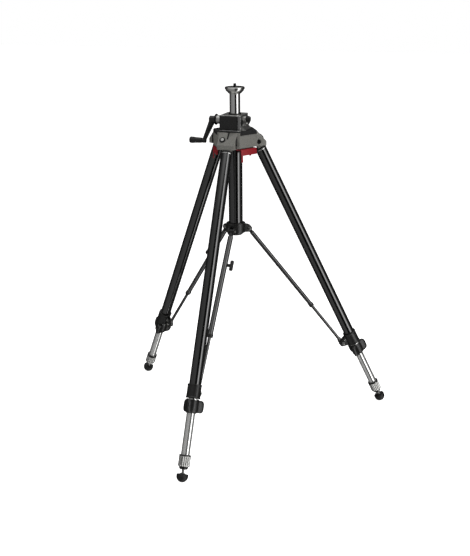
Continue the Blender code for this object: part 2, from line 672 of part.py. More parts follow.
def make_upper(leg, hinge):
    """Fitting on the hinge pin, upper tube, clamp with the arm bracket, and its lock grip."""
    base = -LEG_LENGTH              # the foot's centre in the leg's frame
    cap_top = -CAP_DROP
    cap_bottom = cap_top - CAP_HEIGHT
    fitting = rod(f"{leg}_leg_fitting", hinge, "Y", (0, 0, 0), -FITTING_HALF, FITTING_HALF,
                  FITTING_EYE, CAST_GREY, sides=16)
    join(fitting,
         block(f"{leg}_neck", hinge, (-NECK_HALF, -FITTING_HALF + 0.0005, cap_top - 0.002),
               (NECK_HALF, FITTING_HALF - 0.0005, 0)),
         rod(f"{leg}_tube_cap", hinge, "Z", (0, 0, 0), cap_bottom, cap_top, UPPER_RADIUS + 0.0003,
             sides=ROUND),
         rod(f"{leg}_spigot", hinge, "Z", (0, 0, 0), cap_bottom - FITTING_SPIGOT,
             cap_bottom + 0.001, UPPER_BORE - GAP, sides=ROUND))
    cut(fitting, rod(f"{leg}_fitting_bore", hinge, "Y", (0, 0, 0), -0.03, 0.03,
                     PIN_RADIUS + GAP))
    tube(f"{leg}_upper_tube", hinge, UPPER_RADIUS, UPPER_BORE, base + CLAMP_BOTTOM + CLAMP_FLOOR
         + GAP, cap_bottom - GAP, BLACK_ANODISED)

    clamp = rod(f"{leg}_leg_clamp", hinge, "Z", (0, 0, 0), base + CLAMP_BOTTOM, base + CLAMP_TOP,
                CLAMP_RADIUS, CAST_DARK, sides=ROUND)
    pin = (-BRACKET_IN, 0, base + BRACKET_UP)
    low = base + CLAMP_BOTTOM + 0.001
    high = base + BRACKET_UP + EAR_RADIUS + 0.002
    bracket = block(f"{leg}_bracket", hinge, (-BRACKET_IN, -EAR_HALF, low),
                    (-UPPER_RADIUS - 0.001, EAR_HALF, high))
    ears = rod(f"{leg}_ears", hinge, "Y", pin, -EAR_HALF, EAR_HALF, EAR_RADIUS, sides=16)
    gap = TONGUE_HALF + EAR_GAP
    slot = block(f"{leg}_ear_slot", hinge, (-BRACKET_IN - 0.03, -gap, low - 0.01),
                 (-CLAMP_RADIUS - 0.0005, gap, high + 0.01))
    join(clamp, bracket, ears)
    cut(clamp, slot,
        rod(f"{leg}_tube_seat", hinge, "Z", (0, 0, 0), base + CLAMP_BOTTOM + CLAMP_FLOOR,
            base + CLAMP_TOP + 0.01, UPPER_RADIUS + GAP, sides=ROUND),
        rod(f"{leg}_clamp_bore", hinge, "Z", (0, 0, 0), base + CLAMP_BOTTOM - 0.01,
            base + CLAMP_TOP, MIDDLE_RADIUS + GAP, sides=ROUND),
        rod(f"{leg}_bolt_bore", hinge, "Y", pin, -0.03, 0.03, BOLT_RADIUS + GAP))
    bolt_end = EAR_HALF + GAP
    bolt = rod(f"{leg}_arm_bolt", hinge, "Y", pin, -bolt_end - BOLT_HEAD + 0.0005,
               bolt_end + BOLT_HEAD - 0.0005, BOLT_RADIUS, STEEL)
    join(bolt, *[rod(f"{leg}_bolt_head_{side}", hinge, "Y", pin,
                     *sorted((side * bolt_end, side * (bolt_end + BOLT_HEAD))),
                     BOLT_HEAD_RADIUS) for side in (-1, 1)])

    lock_grip = plate(f"{leg}_lock_grip", hinge, lobed_outline(), base + LOCK_BOTTOM,
                      base + LOCK_TOP, CAST_DARK)
    cut(lock_grip, rod(f"{leg}_lock_bore", hinge, "Z", (0, 0, 0), base + LOCK_BOTTOM - 0.01,
                       base + LOCK_TOP + 0.01, MIDDLE_RADIUS + GAP, sides=ROUND))


def make_lower(leg, hinge):
    """Middle tube, twist collar, lower tube, spindle and rubber foot."""
    base = -LEG_LENGTH
    tube(f"{leg}_middle_tube", hinge, MIDDLE_RADIUS, MIDDLE_BORE, base + MIDDLE_BOTTOM,
         base + MIDDLE_TOP, CHROME)
    seat = MIDDLE_BOTTOM - GAP
    bevel = 0.002
    turned(f"{leg}_twist_collar", hinge, [
        (MIDDLE_RADIUS + GAP, COLLAR_TOP), (COLLAR_RADIUS, COLLAR_TOP),
        (COLLAR_RADIUS, COLLAR_BOTTOM + 0.008), (COLLAR_RADIUS - bevel, COLLAR_BOTTOM),
        (LOWER_RADIUS + GAP, COLLAR_BOTTOM), (LOWER_RADIUS + GAP, seat),
        (MIDDLE_RADIUS + GAP, seat)], STEEL, height=base)
    turned(f"{leg}_lower_tube", hinge, [
        (LOWER_BORE, LOWER_TOP), (LOWER_RADIUS, LOWER_TOP),
        (LOWER_RADIUS, COLLAR_BOTTOM - GAP), (PLUG_FLANGE_RADIUS, COLLAR_BOTTOM - GAP),
        (PLUG_FLANGE_RADIUS, LOWER_BOTTOM), (SPINDLE_RADIUS + GAP, LOWER_BOTTOM),
        (SPINDLE_RADIUS + GAP, PLUG_TOP), (LOWER_BORE, PLUG_TOP)], CHROME, height=base, sides=16)
    spindle_bottom = -0.003
    rod(f"{leg}_foot_spindle", hinge, "Z", (0, 0, 0), base + spindle_bottom, base + SPINDLE_TOP,
        SPINDLE_RADIUS, STEEL)
    steps = 5
    dome = [(RUBBER_RADIUS * math.cos(angle), -RUBBER_RADIUS * math.sin(angle))
            for angle in (math.pi / 2 * step / steps for step in range(steps + 1))]
    dome[-1] = (0, -RUBBER_RADIUS)
    hole = SPINDLE_RADIUS + GAP
    turned(f"{leg}_rubber_foot", hinge, [
        (0, spindle_bottom - GAP), (hole, spindle_bottom - GAP), (hole, FOOT_TOP),
        (RUBBER_RADIUS - 0.0008, FOOT_TOP), (RUBBER_RADIUS, FOOT_TOP - 0.0008), *dome],
        RUBBER, closed=False, height=base, sides=16)


def make_arm(leg, pivot):
    """Oval arm tube on the hub pin, its rod to the clamp, and the wing knob that locks them."""
    arm = turned(f"{leg}_arm_tube", pivot, [
        (0, -ARM_START), (ARM_RADIUS - 0.001, -ARM_START), (ARM_RADIUS, -ARM_START - 0.001),
        (ARM_RADIUS, -ARM_END + 0.012), (ARM_RADIUS + 0.001, -ARM_END + 0.011),
        (ARM_RADIUS + 0.001, -ARM_END), (0, -ARM_END)], BLACK_ANODISED, closed=False, sides=16)
    arm.scale = (1, ARM_WIDEN, 1)
    neck = 0.0058
    join(arm,
         block(f"{leg}_arm_neck", pivot, (-neck, -neck, -ARM_START - 0.012), (neck, neck, 0)),
         rod(f"{leg}_arm_eye", pivot, "Y", (0, 0, 0), -neck - 0.0002, neck + 0.0002, EYE_RADIUS,
             sides=16))
    cut(arm,
        rod(f"{leg}_eye_bore", pivot, "Y", (0, 0, 0), -0.03, 0.03, HUB_PIN_RADIUS + GAP),
        rod(f"{leg}_arm_bore", pivot, "Z", (0, 0, 0), -ARM_END - 0.01, -0.045, ARM_BORE))

    end = -ARM_LENGTH
    arm_rod = rod(f"{leg}_arm_rod", pivot, "Z", (0, 0, 0), end + TONGUE_EYE + 0.006, -ROD_START,
                  ROD_RADIUS, STEEL)
    tongue = block(f"{leg}_tongue", pivot, (-0.0085, -TONGUE_HALF, end),
                   (0.0085, TONGUE_HALF, end + TONGUE_EYE + 0.014))
    eye = rod(f"{leg}_tongue_eye", pivot, "Y", (0, 0, end), -TONGUE_HALF, TONGUE_HALF,
              TONGUE_EYE, sides=16)
    opening = rounded_rectangle(-SLOT_HALF_WIDTH, SLOT_HALF_WIDTH, -SLOT_HALF_LENGTH,
                                SLOT_HALF_LENGTH, SLOT_CORNER)
    # the outline's X and Y become local X and Z, and its thickness becomes local Y
    turn = Matrix(((1, 0, 0, 0), (0, 0, -1, 0), (0, 1, 0, end), (0, 0, 0, 1)))
    slot = plate(f"{leg}_tongue_slot", pivot, opening, -0.01, 0.01, turn=turn)
    join(arm_rod, tongue, eye)
    cut(arm_rod, slot)

    wing_axis = add_empty(f"{leg}_wing_axis", pivot, (0, 0, -WING_AT))
    side = ARM_RADIUS * ARM_WIDEN + GAP
    wing = rod(f"{leg}_wing_knob", wing_axis, "Y", (0, 0, 0), side, side + 0.013, 0.0040,
               BLACK_PLASTIC)
    thickness = (side + 0.008, side + 0.0145)
    join(wing,
         block(f"{leg}_wing_bar", wing_axis, (-0.0028, thickness[0], -WING_REACH),
               (0.0028, thickness[1] - 0.0005, WING_REACH)),
         *[rod(f"{leg}_wing_tip_{side_sign}", wing_axis, "Y", (0, 0, side_sign * WING_REACH),
               *thickness, 0.0052) for side_sign in (-1, 1)])


def make_lever(leg, spot):
    """Red release lever: a plate hinged on its inner edge, with a lip and a finger prong."""
    hinge = add_empty(f"{leg}_lever_axis", spot, (LEVER_HINGE[0], 0, LEVER_HINGE[1]))
    half = LEVER_THICKNESS / 2
    lip_x = LEVER_REACH
    outline = [(-half, half), (-half, -half), (lip_x - LEVER_THICKNESS, -half),
               (lip_x - LEVER_THICKNESS + 0.003, -LEVER_LIP), (lip_x + 0.002, -LEVER_LIP),
               (lip_x, half)]
    # the outline's X and Y become local X and Z, and its thickness becomes local Y
    turn = Matrix(((1, 0, 0, 0), (0, 0, -1, 0), (0, 1, 0, 0), (0, 0, 0, 1)))
    lever = plate(f"{leg}_release_lever", hinge, outline, -LEVER_HALF, LEVER_HALF, RED_PLASTIC,
                  turn)
    prong = block(f"{leg}_prong", hinge,
                  (lip_x - LEVER_THICKNESS + 0.0035, -LEVER_HALF + 0.0005, -LEVER_LIP - LEVER_PRONG),
                  (lip_x + 0.0015, -LEVER_HALF + 0.0065, -LEVER_LIP + 0.002))
    join(lever, prong)


def make_pin(leg, spot):
    hinge = (HINGE_RADIUS, 0, HINGE_HEIGHT)
    seat = PIN_SEAT_HALF + GAP
    reach = seat + PIN_HEAD / 2
    pin = rod(f"{leg}_hinge_pin", spot, "Y", hinge, -reach, reach, PIN_RADIUS, STEEL)
    join(pin, *[rod(f"{leg}_pin_head_{side}", spot, "Y", hinge,
                    *sorted((side * seat, side * (seat + PIN_HEAD))),
                    PIN_HEAD_RADIUS) for side in (-1, 1)])


for leg_name, leg_azimuth in LEGS.items():
    heading = (0, 0, math.radians(leg_azimuth))
    plane = add_empty(f"{leg_name}_plane", root, turn=heading)
    leg_hinge = add_empty(f"{leg_name}_hinge", plane, (HINGE_RADIUS, 0, HINGE_HEIGHT),
                          (0, -SPLAY, 0))
    arm_pivot = add_empty(f"{leg_name}_pivot", plane, (SPREAD_PIVOT[0], 0, SPREAD_PIVOT[1]),
                          (0, -ARM_SPLAY, 0))
    side_plane = add_empty(f"{leg_name}_side", root,
                           turn=(0, 0, math.radians(leg_azimuth + 60)))
    make_pin(leg_name, plane)
    make_upper(leg_name, leg_hinge)
    make_lower(leg_name, leg_hinge)
    make_arm(leg_name, arm_pivot)
    make_lever(leg_name, side_plane)
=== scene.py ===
"""Film camera tripod: geared column, three telescopic legs and a mid-level spreader."""
import json
import math

import bmesh
import bpy
import numpy as np
from mathutils import Matrix, Vector


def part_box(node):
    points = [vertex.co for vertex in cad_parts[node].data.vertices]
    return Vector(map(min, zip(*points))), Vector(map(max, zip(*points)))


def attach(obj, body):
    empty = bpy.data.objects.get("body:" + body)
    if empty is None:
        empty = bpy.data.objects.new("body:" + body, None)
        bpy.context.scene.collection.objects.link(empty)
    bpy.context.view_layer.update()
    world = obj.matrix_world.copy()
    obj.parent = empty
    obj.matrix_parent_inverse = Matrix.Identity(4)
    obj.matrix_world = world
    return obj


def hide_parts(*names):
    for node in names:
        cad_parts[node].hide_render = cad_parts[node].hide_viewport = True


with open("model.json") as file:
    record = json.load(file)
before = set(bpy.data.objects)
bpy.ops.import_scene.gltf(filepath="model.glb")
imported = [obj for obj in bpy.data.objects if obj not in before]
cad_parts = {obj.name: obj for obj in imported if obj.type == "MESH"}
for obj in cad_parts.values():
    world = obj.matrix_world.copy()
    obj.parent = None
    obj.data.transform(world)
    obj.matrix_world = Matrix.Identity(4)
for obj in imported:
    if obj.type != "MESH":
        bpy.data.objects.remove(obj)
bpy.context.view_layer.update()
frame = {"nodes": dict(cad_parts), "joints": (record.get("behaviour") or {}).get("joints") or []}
joints = {joint["name"]: joint for joint in frame["joints"]}
LEGS = ("front", "right", "left")
UP = Vector((0, 0, 1))
MM = 0.001
# turns a flat outline's X and Y into outwards and up, with its height along the pin
STAND_ON_EDGE = Matrix(((1, 0, 0, 0), (0, 0, -1, 0), (0, 1, 0, 0), (0, 0, 0, 1)))

# ---------------------------------------------------------------- camera, floor and lights
# The tripod stands in a white studio sweep. The camera is a short telephoto at head height,
# a little to the right of the front leg, and it looks down at the hub.
axis_y = joints["column_lock_turn"]["pos_m"][1]
SUBJECT_DISTANCE = 3.0865
CAMERA_HEIGHT = 1.4239
CAMERA_HEADING = math.radians(18.9)
CAMERA_PITCH = 0.3004
CAMERA_YAW = 0.0013
CAMERA_ROLL = -0.0083
camera_data = bpy.data.cameras.new("studio_camera")
camera_data.lens = 65.8
camera = bpy.data.objects.new("studio_camera", camera_data)
bpy.context.scene.collection.objects.link(camera)
camera.matrix_world = (Matrix.Translation((SUBJECT_DISTANCE * math.sin(CAMERA_HEADING),
    axis_y - SUBJECT_DISTANCE * math.cos(CAMERA_HEADING), CAMERA_HEIGHT)) @ Matrix.Rotation(
    CAMERA_HEADING + CAMERA_YAW, 4, "Z") @ Matrix.Rotation(math.radians(90) - CAMERA_PITCH, 4,
    "X") @ Matrix.Rotation(CAMERA_ROLL, 4, "Z"))
bpy.context.scene.camera = camera
# a plain film response: paper white stays white, and edges against it stay smooth
bpy.context.scene.view_settings.view_transform = "Standard"


def mm(*points):
    """Points given in millimetres."""
    return [tuple(value * MM for value in point) for point in points]


def linear(code):
    """An sRGB hex code as the linear colour that the shaders take."""
    parts = np.array([int(code[i:i + 2], 16) for i in (1, 3, 5)]) / 255
    parts = np.where(parts <= 0.04045, parts / 12.92, ((parts + 0.055) / 1.055) ** 2.4)
    return (*parts.tolist(), 1.0)


def put(tree, kind, settings=None, sockets=None):
    """Adds one node with its own settings, and sets or links its input sockets."""
    item = tree.nodes.new(kind)
    for key, value in (settings or {}).items():
        setattr(item, key, value)
    for key, value in (sockets or {}).items():
        if isinstance(value, bpy.types.NodeSocket):
            tree.links.new(value, item.inputs[key])
        else:
            item.inputs[key].default_value = value
    return item


def studio_world():
    """A white sweep to the camera. Shiny pieces mirror a studio instead: grey on the left, a
    dark camera side, a tall white softbox on the right, and a grey ceiling."""
    world = bpy.data.worlds.new("white_studio")
    world.use_nodes = True
    bpy.context.scene.world = world
    tree = world.node_tree
    tree.nodes.clear()
    spot = put(tree, "ShaderNodeTexCoord")
    across = (math.cos(CAMERA_HEADING), math.sin(CAMERA_HEADING), 0.0)
    toward = (math.sin(CAMERA_HEADING), -math.cos(CAMERA_HEADING), 0.0)
    dots = [put(tree, "ShaderNodeVectorMath", {"operation": "DOT_PRODUCT"},
        {0: spot.outputs["Generated"], 1: axis}) for axis in (across, toward)]
    angle = put(tree, "ShaderNodeMath", {"operation": "ARCTAN2"}, {0: dots[0].outputs["Value"],
        1: dots[1].outputs["Value"]})
    turn = put(tree, "ShaderNodeMapRange", None, {"Value": angle.outputs["Value"],
        "From Min": -math.pi, "From Max": math.pi})
    walls = put(tree, "ShaderNodeValToRGB", None, {"Fac": turn.outputs["Result"]})
    stops = walls.color_ramp.elements
    for place, level in ((0.2, 0.01), (0.27, 0.07), (0.42, 0.1), (0.485, 0.09), (0.51, 0.0),
            (0.605, 0.0), (0.628, 1.0), (0.66, 1.0), (0.69, 0.2), (0.74, 0.01)):
        stop = stops.new(place)
        stop.color = (level, level, level, 1)
    stops[0].color = stops[-1].color = (0.01, 0.01, 0.01, 1)
    height = put(tree, "ShaderNodeSeparateXYZ", None, {"Vector": spot.outputs["Generated"]})
    ceiling = put(tree, "ShaderNodeMapRange", {"interpolation_type": "SMOOTHSTEP"},
        {"Value": height.outputs["Z"], "From Min": 0.62, "From Max": 0.85})
    studio = put(tree, "ShaderNodeMix", {"data_type": "RGBA"},
        {"Factor": ceiling.outputs["Result"], "A": walls.outputs["Color"],
        "B": linear("#a0a0a0")})
    seen = put(tree, "ShaderNodeBackground", None, {"Color": linear("#ffffff"),
        "Strength": BACKDROP_LIGHT})
    ray = put(tree, "ShaderNodeLightPath")
    strength = put(tree, "ShaderNodeMapRange", None, {"Value": ray.outputs["Is Glossy Ray"],
        "To Min": FILL_LIGHT, "To Max": STUDIO_LIGHT})
    mirrored = put(tree, "ShaderNodeBackground", None, {"Color": studio.outputs["Result"],
        "Strength": strength.outputs["Result"]})
    both = put(tree, "ShaderNodeMixShader", None, {0: ray.outputs["Is Camera Ray"],
        1: mirrored.outputs["Background"], 2: seen.outputs["Background"]})
    put(tree, "ShaderNodeOutputWorld", None, {"Surface": both.outputs["Shader"]})


def softbox(name, place, aim, width, height, power):
    lamp = bpy.data.lights.new(name, "AREA")
    lamp.shape = "RECTANGLE"
    lamp.size = width
    lamp.size_y = height
    lamp.energy = power
    item = bpy.data.objects.new(name, lamp)
    item.location = place
    item.rotation_euler = (Vector(aim) - Vector(place)).to_track_quat("-Z", "Y").to_euler()
    item.visible_glossy = False
    bpy.context.scene.collection.objects.link(item)


BACKDROP_LIGHT = 1.0
STUDIO_LIGHT = 3.7
FILL_LIGHT = 0.9
studio_world()
softbox("key_softbox", (2.6, -1.2, 2.2), (0, 0, 0.7), 0.8, 2.2, 42)
softbox("fill_softbox", (-2.8, -1.6, 1.6), (0, 0, 0.6), 0.6, 2.2, 22)
softbox("top_softbox", (0.3, 0.6, 3.2), (0, 0.1, 0.6), 1.8, 1.8, 36)

floor_size = 14.0
floor_mesh = bpy.data.meshes.new("studio_floor")
corners = [(x * floor_size, y * floor_size, -0.0004) for x, y in ((-1, -1), (1, -1), (1, 1),
    (-1, 1))]
floor_mesh.from_pydata(corners, [], [(0, 1, 2, 3)])
floor = bpy.data.objects.new("studio_floor", floor_mesh)
bpy.context.scene.collection.objects.link(floor)
paper = bpy.data.materials.new("white_paper_sweep")
paper.use_nodes = True
paper_shader = paper.node_tree.nodes["Principled BSDF"]
paper_shader.inputs["Base Color"].default_value = linear("#f4f4f2")
paper_shader.inputs["Roughness"].default_value = 0.9
# the sweep is lit from below its surface, as a light table is, and shows no hard shadow
paper_ray = put(paper.node_tree, "ShaderNodeLightPath")
paper_glow = put(paper.node_tree, "ShaderNodeMapRange", None,
    {"Value": paper_ray.outputs["Is Camera Ray"], "To Min": 0.35, "To Max": 1.0})
paper_shader.inputs["Emission Color"].default_value = linear("#ffffff")
paper.node_tree.links.new(paper_glow.outputs["Result"], paper_shader.inputs["Emission Strength"])
floor_mesh.materials.append(paper)
floor.visible_glossy = False

# ---------------------------------------------------------------- centre sleeve and its black tube
# A drawn aluminium tube hangs under the shoulder and guides the column. It is anodised gloss
# black, like the upper leg tubes. Below are the first surface and finish tools it needs.


def fillet(points, radius, steps=4, closed=True):
    """Rounds the corners of a flat polyline: each corner becomes a curve between two points
    that lie `radius`, or less on a short side, before and after it."""
    points = np.asarray(points, float)
    before = np.roll(points, 1, axis=0)
    after = np.roll(points, -1, axis=0)
    to_before, to_after = before - points, after - points
    length_before = np.linalg.norm(to_before, axis=1, keepdims=True)
    length_after = np.linalg.norm(to_after, axis=1, keepdims=True)
    reach = np.minimum(np.minimum(length_before, length_after) * 0.48,
        np.broadcast_to(np.reshape(radius, (-1, 1)), (len(points), 1)))
    start = points + to_before / length_before * reach
    end = points + to_after / length_after * reach
    t = np.linspace(0, 1, steps + 1)[None, :, None]
    curve = ((1 - t) ** 2 * start[:, None] + 2 * t * (1 - t) * points[:, None] + t ** 2 * end[:,
        None])
    if closed:
        return curve.reshape(-1, 2)
    return np.vstack([points[:1], curve[1:-1].reshape(-1, 2), points[-1:]])


def skin(rings, loop=False):
    """Joins rings of points, top to bottom, into quads. The first and last rings are closed
    with a face each, unless the rings form a loop."""
    rows, count = rings.shape[:2]
    row = np.arange(rows if loop else rows - 1)[:, None]
    column = np.arange(count)[None, :]
    near, far = row * count, (row + 1) % rows * count
    side = (column + 1) % count
    faces = np.stack([near + column, far + column, far + side, near + side], -1)
    return faces.reshape(-1, 4).tolist()


def shape(name, rings, where, loop=False):
    """An object made from rings given in the local frame `where`. Its UV map is in metres:
    U runs round a ring and V along the rings."""
    rings = np.asarray(rings, float)
    rows, count = rings.shape[:2]
    faces = skin(rings, loop)
    if not loop:
        faces += [list(range(count)), list(range((rows - 1) * count, rows * count))[::-1]]
    matrix = np.array(where)
    points = rings.reshape(-1, 3) @ matrix[:3, :3].T + matrix[:3, 3]
    mesh = bpy.data.meshes.new(name)
    mesh.from_pydata(points.tolist(), [], faces)
    girth = np.linalg.norm(np.roll(rings, -1, axis=1) - rings, axis=2).sum(1).max()
    along = np.concatenate([[0], np.cumsum(np.linalg.norm(np.diff(rings, axis=0),
        axis=2).mean(1))])
    corner = np.empty(len(mesh.loops), np.int32)
    mesh.loops.foreach_get("vertex_index", corner)
    starts = np.empty(len(mesh.polygons), np.int32)
    totals = np.empty(len(mesh.polygons), np.int32)
    mesh.polygons.foreach_get("loop_start", starts)
    mesh.polygons.foreach_get("loop_total", totals)
    u = corner % count / count * girth
    widest = np.repeat(np.maximum.reduceat(u, starts), totals)
    u = np.where((widest - u > girth / 2) & np.repeat(totals == 4, totals), u + girth, u)
    uv = np.stack([u, along[corner // count]], -1).astype(np.float32)
    mesh.uv_layers.new(name="surface").data.foreach_set("uv", uv.ravel())
    tidy = bmesh.new()
    tidy.from_mesh(mesh)
    bmesh.ops.remove_doubles(tidy, verts=tidy.verts, dist=1e-6)
    bmesh.ops.dissolve_degenerate(tidy, edges=tidy.edges, dist=1e-7)
    bmesh.ops.recalc_face_normals(tidy, faces=tidy.faces)
    tidy.to_mesh(mesh)
    tidy.free()
    item = bpy.data.objects.new(name, mesh)
    bpy.context.scene.collection.objects.link(item)
    return item


def bake(item):
    """Applies the modifiers of an object to its mesh."""
    graph = bpy.context.evaluated_depsgraph_get()
    mesh = bpy.data.meshes.new_from_object(item.evaluated_get(graph))
    item.modifiers.clear()
    item.data = mesh


def carve(item, *cutters):
    """Cuts closed shapes out of an object."""
    for cutter in cutters:
        step = item.modifiers.new("cut", "BOOLEAN")
        step.operation = "DIFFERENCE"
        step.solver = "EXACT"
        step.object = cutter
    bake(item)
    for cutter in cutters:
        bpy.data.objects.remove(cutter)
    return item


# The record's slot that each finish belongs to, by the start of the finish's name.
SLOTS = (("black_anodised", "black_tube"), ("black_oxide", "steel"), ("bright_turned_steel",
    "steel"), ("black_moulded_abs", "black_plastic"), ("matt_black", "black_plastic"),
    ("satin_black", "black_plastic"), ("dark_hammered", "cast_dark"), ("grey_speckled",
    "cast_grey"), ("bare_die_cast", "cast_bright"), ("polished_drawn", "polished_tube"),
    ("satin_drawn", "polished_tube"), ("black_moulded_rubber", "rubber"), ("red_moulded",
    "red_plastic"))


def add(item, finish, body, stands_for=(), sharp=40, slot="of the finish"):
    """Gives a shape its finish and smooth shading, parents it to its body's empty and hides the
    CAD nodes that it stands for.
    """
    mesh = item.data
    mesh.materials.clear()
    mesh.materials.append(finish)
    mesh.shade_smooth()
    mesh.set_sharp_from_angle(angle=math.radians(sharp))
    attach(item, body)
    if stands_for:
        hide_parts(*([stands_for] if isinstance(stands_for, str) else stands_for))
    if slot == "of the finish":
        slot = next(word for start, word in SLOTS if finish.name.startswith(start))
    return item


def piece(name, rings, where, finish, body, stands_for=(), sharp=40, loop=False,
        slot="of the finish"):
    """One visible piece, from its rings to its place on a body."""
    return add(shape(name, rings, where, loop), finish, body, stands_for, sharp, slot)


def lathe(profile, sides=64, swell=None, oval=1.0):
    """Turns (radius, height) points about Z. `swell` adds to the radius as a function of the
    angle and height, and `oval` stretches Y."""
    profile = np.asarray(profile, float)
    angle = np.arange(sides) / sides * 2 * np.pi
    radius = np.repeat(profile[:, :1], sides, axis=1)
    height = np.repeat(profile[:, 1:], sides, axis=1)
    if swell is not None:
        radius = radius + swell(angle[None, :], height) * (radius > 1e-6)
    return np.stack([radius * np.cos(angle), radius * np.sin(angle) * oval, height], -1)


def tube(outer, bore, low, high, edge=0.4 * MM, sides=64, oval=1.0):
    """A tube with rounded ends, as a closed loop of rings."""
    profile = fillet([(outer, high), (outer, low), (bore, low), (bore, high)], edge, 3)
    return lathe(profile, sides, oval=oval)


def solid(points, edge=0.4 * MM, sides=64, swell=None, steps=4):
    """A turned solid: its profile starts and ends on the axis."""
    profile = fillet(points, edge, steps, closed=False)
    return lathe(profile, sides, swell)


def cylinder(radius, low, high, edge=0.4 * MM, sides=64):
    """A solid cylinder with rounded rims."""
    return solid([(0, high), (radius, high), (radius, low), (0, low)], edge, sides)


def principled(name, colour, metallic, roughness):
    """A named finish with its plain values on the shader's own sockets."""
    finish = bpy.data.materials.new(name)
    finish.use_nodes = True
    shader = finish.node_tree.nodes["Principled BSDF"]
    shader.inputs["Base Color"].default_value = linear(colour)
    shader.inputs["Metallic"].default_value = metallic
    shader.inputs["Roughness"].default_value = roughness
    return finish, finish.node_tree, shader


def weather(tree, shader, vector, patch_mm, colours, roughness):
    """Slow patches of two near colours and two roughnesses, as handling leaves on a surface."""
    patch = put(tree, "ShaderNodeTexNoise", None, {"Vector": vector, "Scale": 1 / (patch_mm * MM),
        "Detail": 3.0})
    tone = put(tree, "ShaderNodeMix", {"data_type": "RGBA"}, {"Factor": patch.outputs["Fac"],
        "A": linear(colours[0]), "B": linear(colours[1])})
    rough = put(tree, "ShaderNodeMapRange", None, {"Value": patch.outputs["Fac"], "From Min": 0.3,
        "From Max": 0.7, "To Min": roughness[0], "To Max": roughness[1]})
    tree.links.new(tone.outputs["Result"], shader.inputs["Base Color"])
    tree.links.new(rough.outputs["Result"], shader.inputs["Roughness"])
    return tone, rough


def relief(tree, shader, height, depth_mm, strength=1.0):
    """Presses a height pattern into the surface to a real depth."""
    bump = put(tree, "ShaderNodeBump", None, {"Height": height, "Distance": depth_mm * MM,
        "Strength": strength})
    tree.links.new(bump.outputs["Normal"], shader.inputs["Normal"])


def drawn_tube_finish(name, colours, metallic, roughness, line_mm, depth_mm):
    """Drawn or ground tube: fine lines along the tube, from noise stretched along V."""
    finish, tree, shader = principled(name, colours[0], metallic, roughness[0])
    spot = put(tree, "ShaderNodeTexCoord")
    stretched = put(tree, "ShaderNodeMapping", None, {"Vector": spot.outputs["UV"],
        "Scale": (1 / (line_mm * MM), 4.0, 1.0)})
    lines = put(tree, "ShaderNodeTexNoise", None, {"Vector": stretched.outputs["Vector"],
        "Scale": 1.0, "Detail": 2.0})
    weather(tree, shader, spot.outputs["Object"], 45, colours, roughness)
    relief(tree, shader, lines.outputs["Fac"], depth_mm)
    return finish, tree, shader


# Anodised aluminium keeps the drawing lines under a hard, glossy black skin. The lines are
# really 0.1 mm apart, and are drawn 0.8 mm apart to show.
black_anodised, _, black_shader = drawn_tube_finish("black_anodised_drawn_aluminium",
    ("#060606", "#0b0b0b"), 0.0, (0.14, 0.22), 0.8, 0.003)
black_shader.inputs["IOR"].default_value = 1.6
black_shader.inputs["Coat Weight"].default_value = 1.0
black_shader.inputs["Coat Roughness"].default_value = 0.12

axis_place = Matrix.Translation((0, axis_y, 0))


def span(node):
    """Lowest and highest height of a CAD node."""
    low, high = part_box(node)
    return low.z, high.z


sleeve_low, sleeve_high = span("centre_sleeve")
SLEEVE_RADIUS = 21.8 * MM
piece("centre_sleeve_tube", tube(SLEEVE_RADIUS, SLEEVE_RADIUS - 4.8 * MM, sleeve_low, sleeve_high,
    sides=96), axis_place, black_anodised, "head", "centre_sleeve", loop=True, slot=None)

# Moulded ABS has a fine even grain and a soft sheen.


def moulded(name, colour, other, roughness, grain_mm=0.5, depth_mm=0.03):
    """Moulded plastic: an even grain pressed by the mould, with faint handling patches."""
    finish, tree, shader = principled(name, colour, 0.0, roughness)
    spot = put(tree, "ShaderNodeTexCoord")
    grain = put(tree, "ShaderNodeTexNoise", None, {"Vector": spot.outputs["Object"],
        "Scale": 1 / (grain_mm * MM), "Detail": 2.0})
    weather(tree, shader, spot.outputs["Object"], 18, (colour, other), (roughness - 0.06,
        roughness + 0.08))
    relief(tree, shader, grain.outputs["Fac"], depth_mm)
    shader.inputs["IOR"].default_value = 1.5
    return finish


black_abs = moulded("black_moulded_abs", "#0c0c0c", "#141414", 0.42)
matt_black = moulded("matt_black_glass_filled_nylon", "#090909", "#101010", 0.72, 0.8, 0.05)
cap_low = span("sleeve_end_cap")[0]
piece("sleeve_cap", solid([(0, sleeve_low - 0.3 * MM), (SLEEVE_RADIUS, sleeve_low - 0.3 * MM),
    (SLEEVE_RADIUS, cap_low + 2.4 * MM), (SLEEVE_RADIUS - 3 * MM, cap_low), (0, cap_low)],
    0.8 * MM), axis_place, black_abs, "head", "sleeve_end_cap", slot=None)

# ---------------------------------------------------------------- shoulder casting
# The aluminium casting that joins the legs has a grey speckled enamel. It keeps its three flat
# sides and leaning corners, and gets rounded edges, a sunk screw and a notch on each corner.


def heading(leg):
    """Unit vector from the column axis to a leg's foot, level with the floor."""
    spot = joints[f"{leg}_foot_turn"]["pos_m"]
    return Vector((spot[0], spot[1] - axis_y, 0)).normalized()


def leg_axes(leg):
    """Unit vectors outwards along a leg's heading and sideways along its hinge pin."""
    out = heading(leg)
    return out, UP.cross(out)


def frame_at(origin, z_axis, x_hint):
    """A local frame with a given Z axis and an X axis close to `x_hint`."""
    z = Vector(z_axis).normalized()
    y = z.cross(Vector(x_hint)).normalized()
    x = y.cross(z)
    return Matrix(((x.x, y.x, z.x, origin[0]), (x.y, y.y, z.y, origin[1]), (x.z, y.z, z.z,
        origin[2]), (0, 0, 0, 1)))


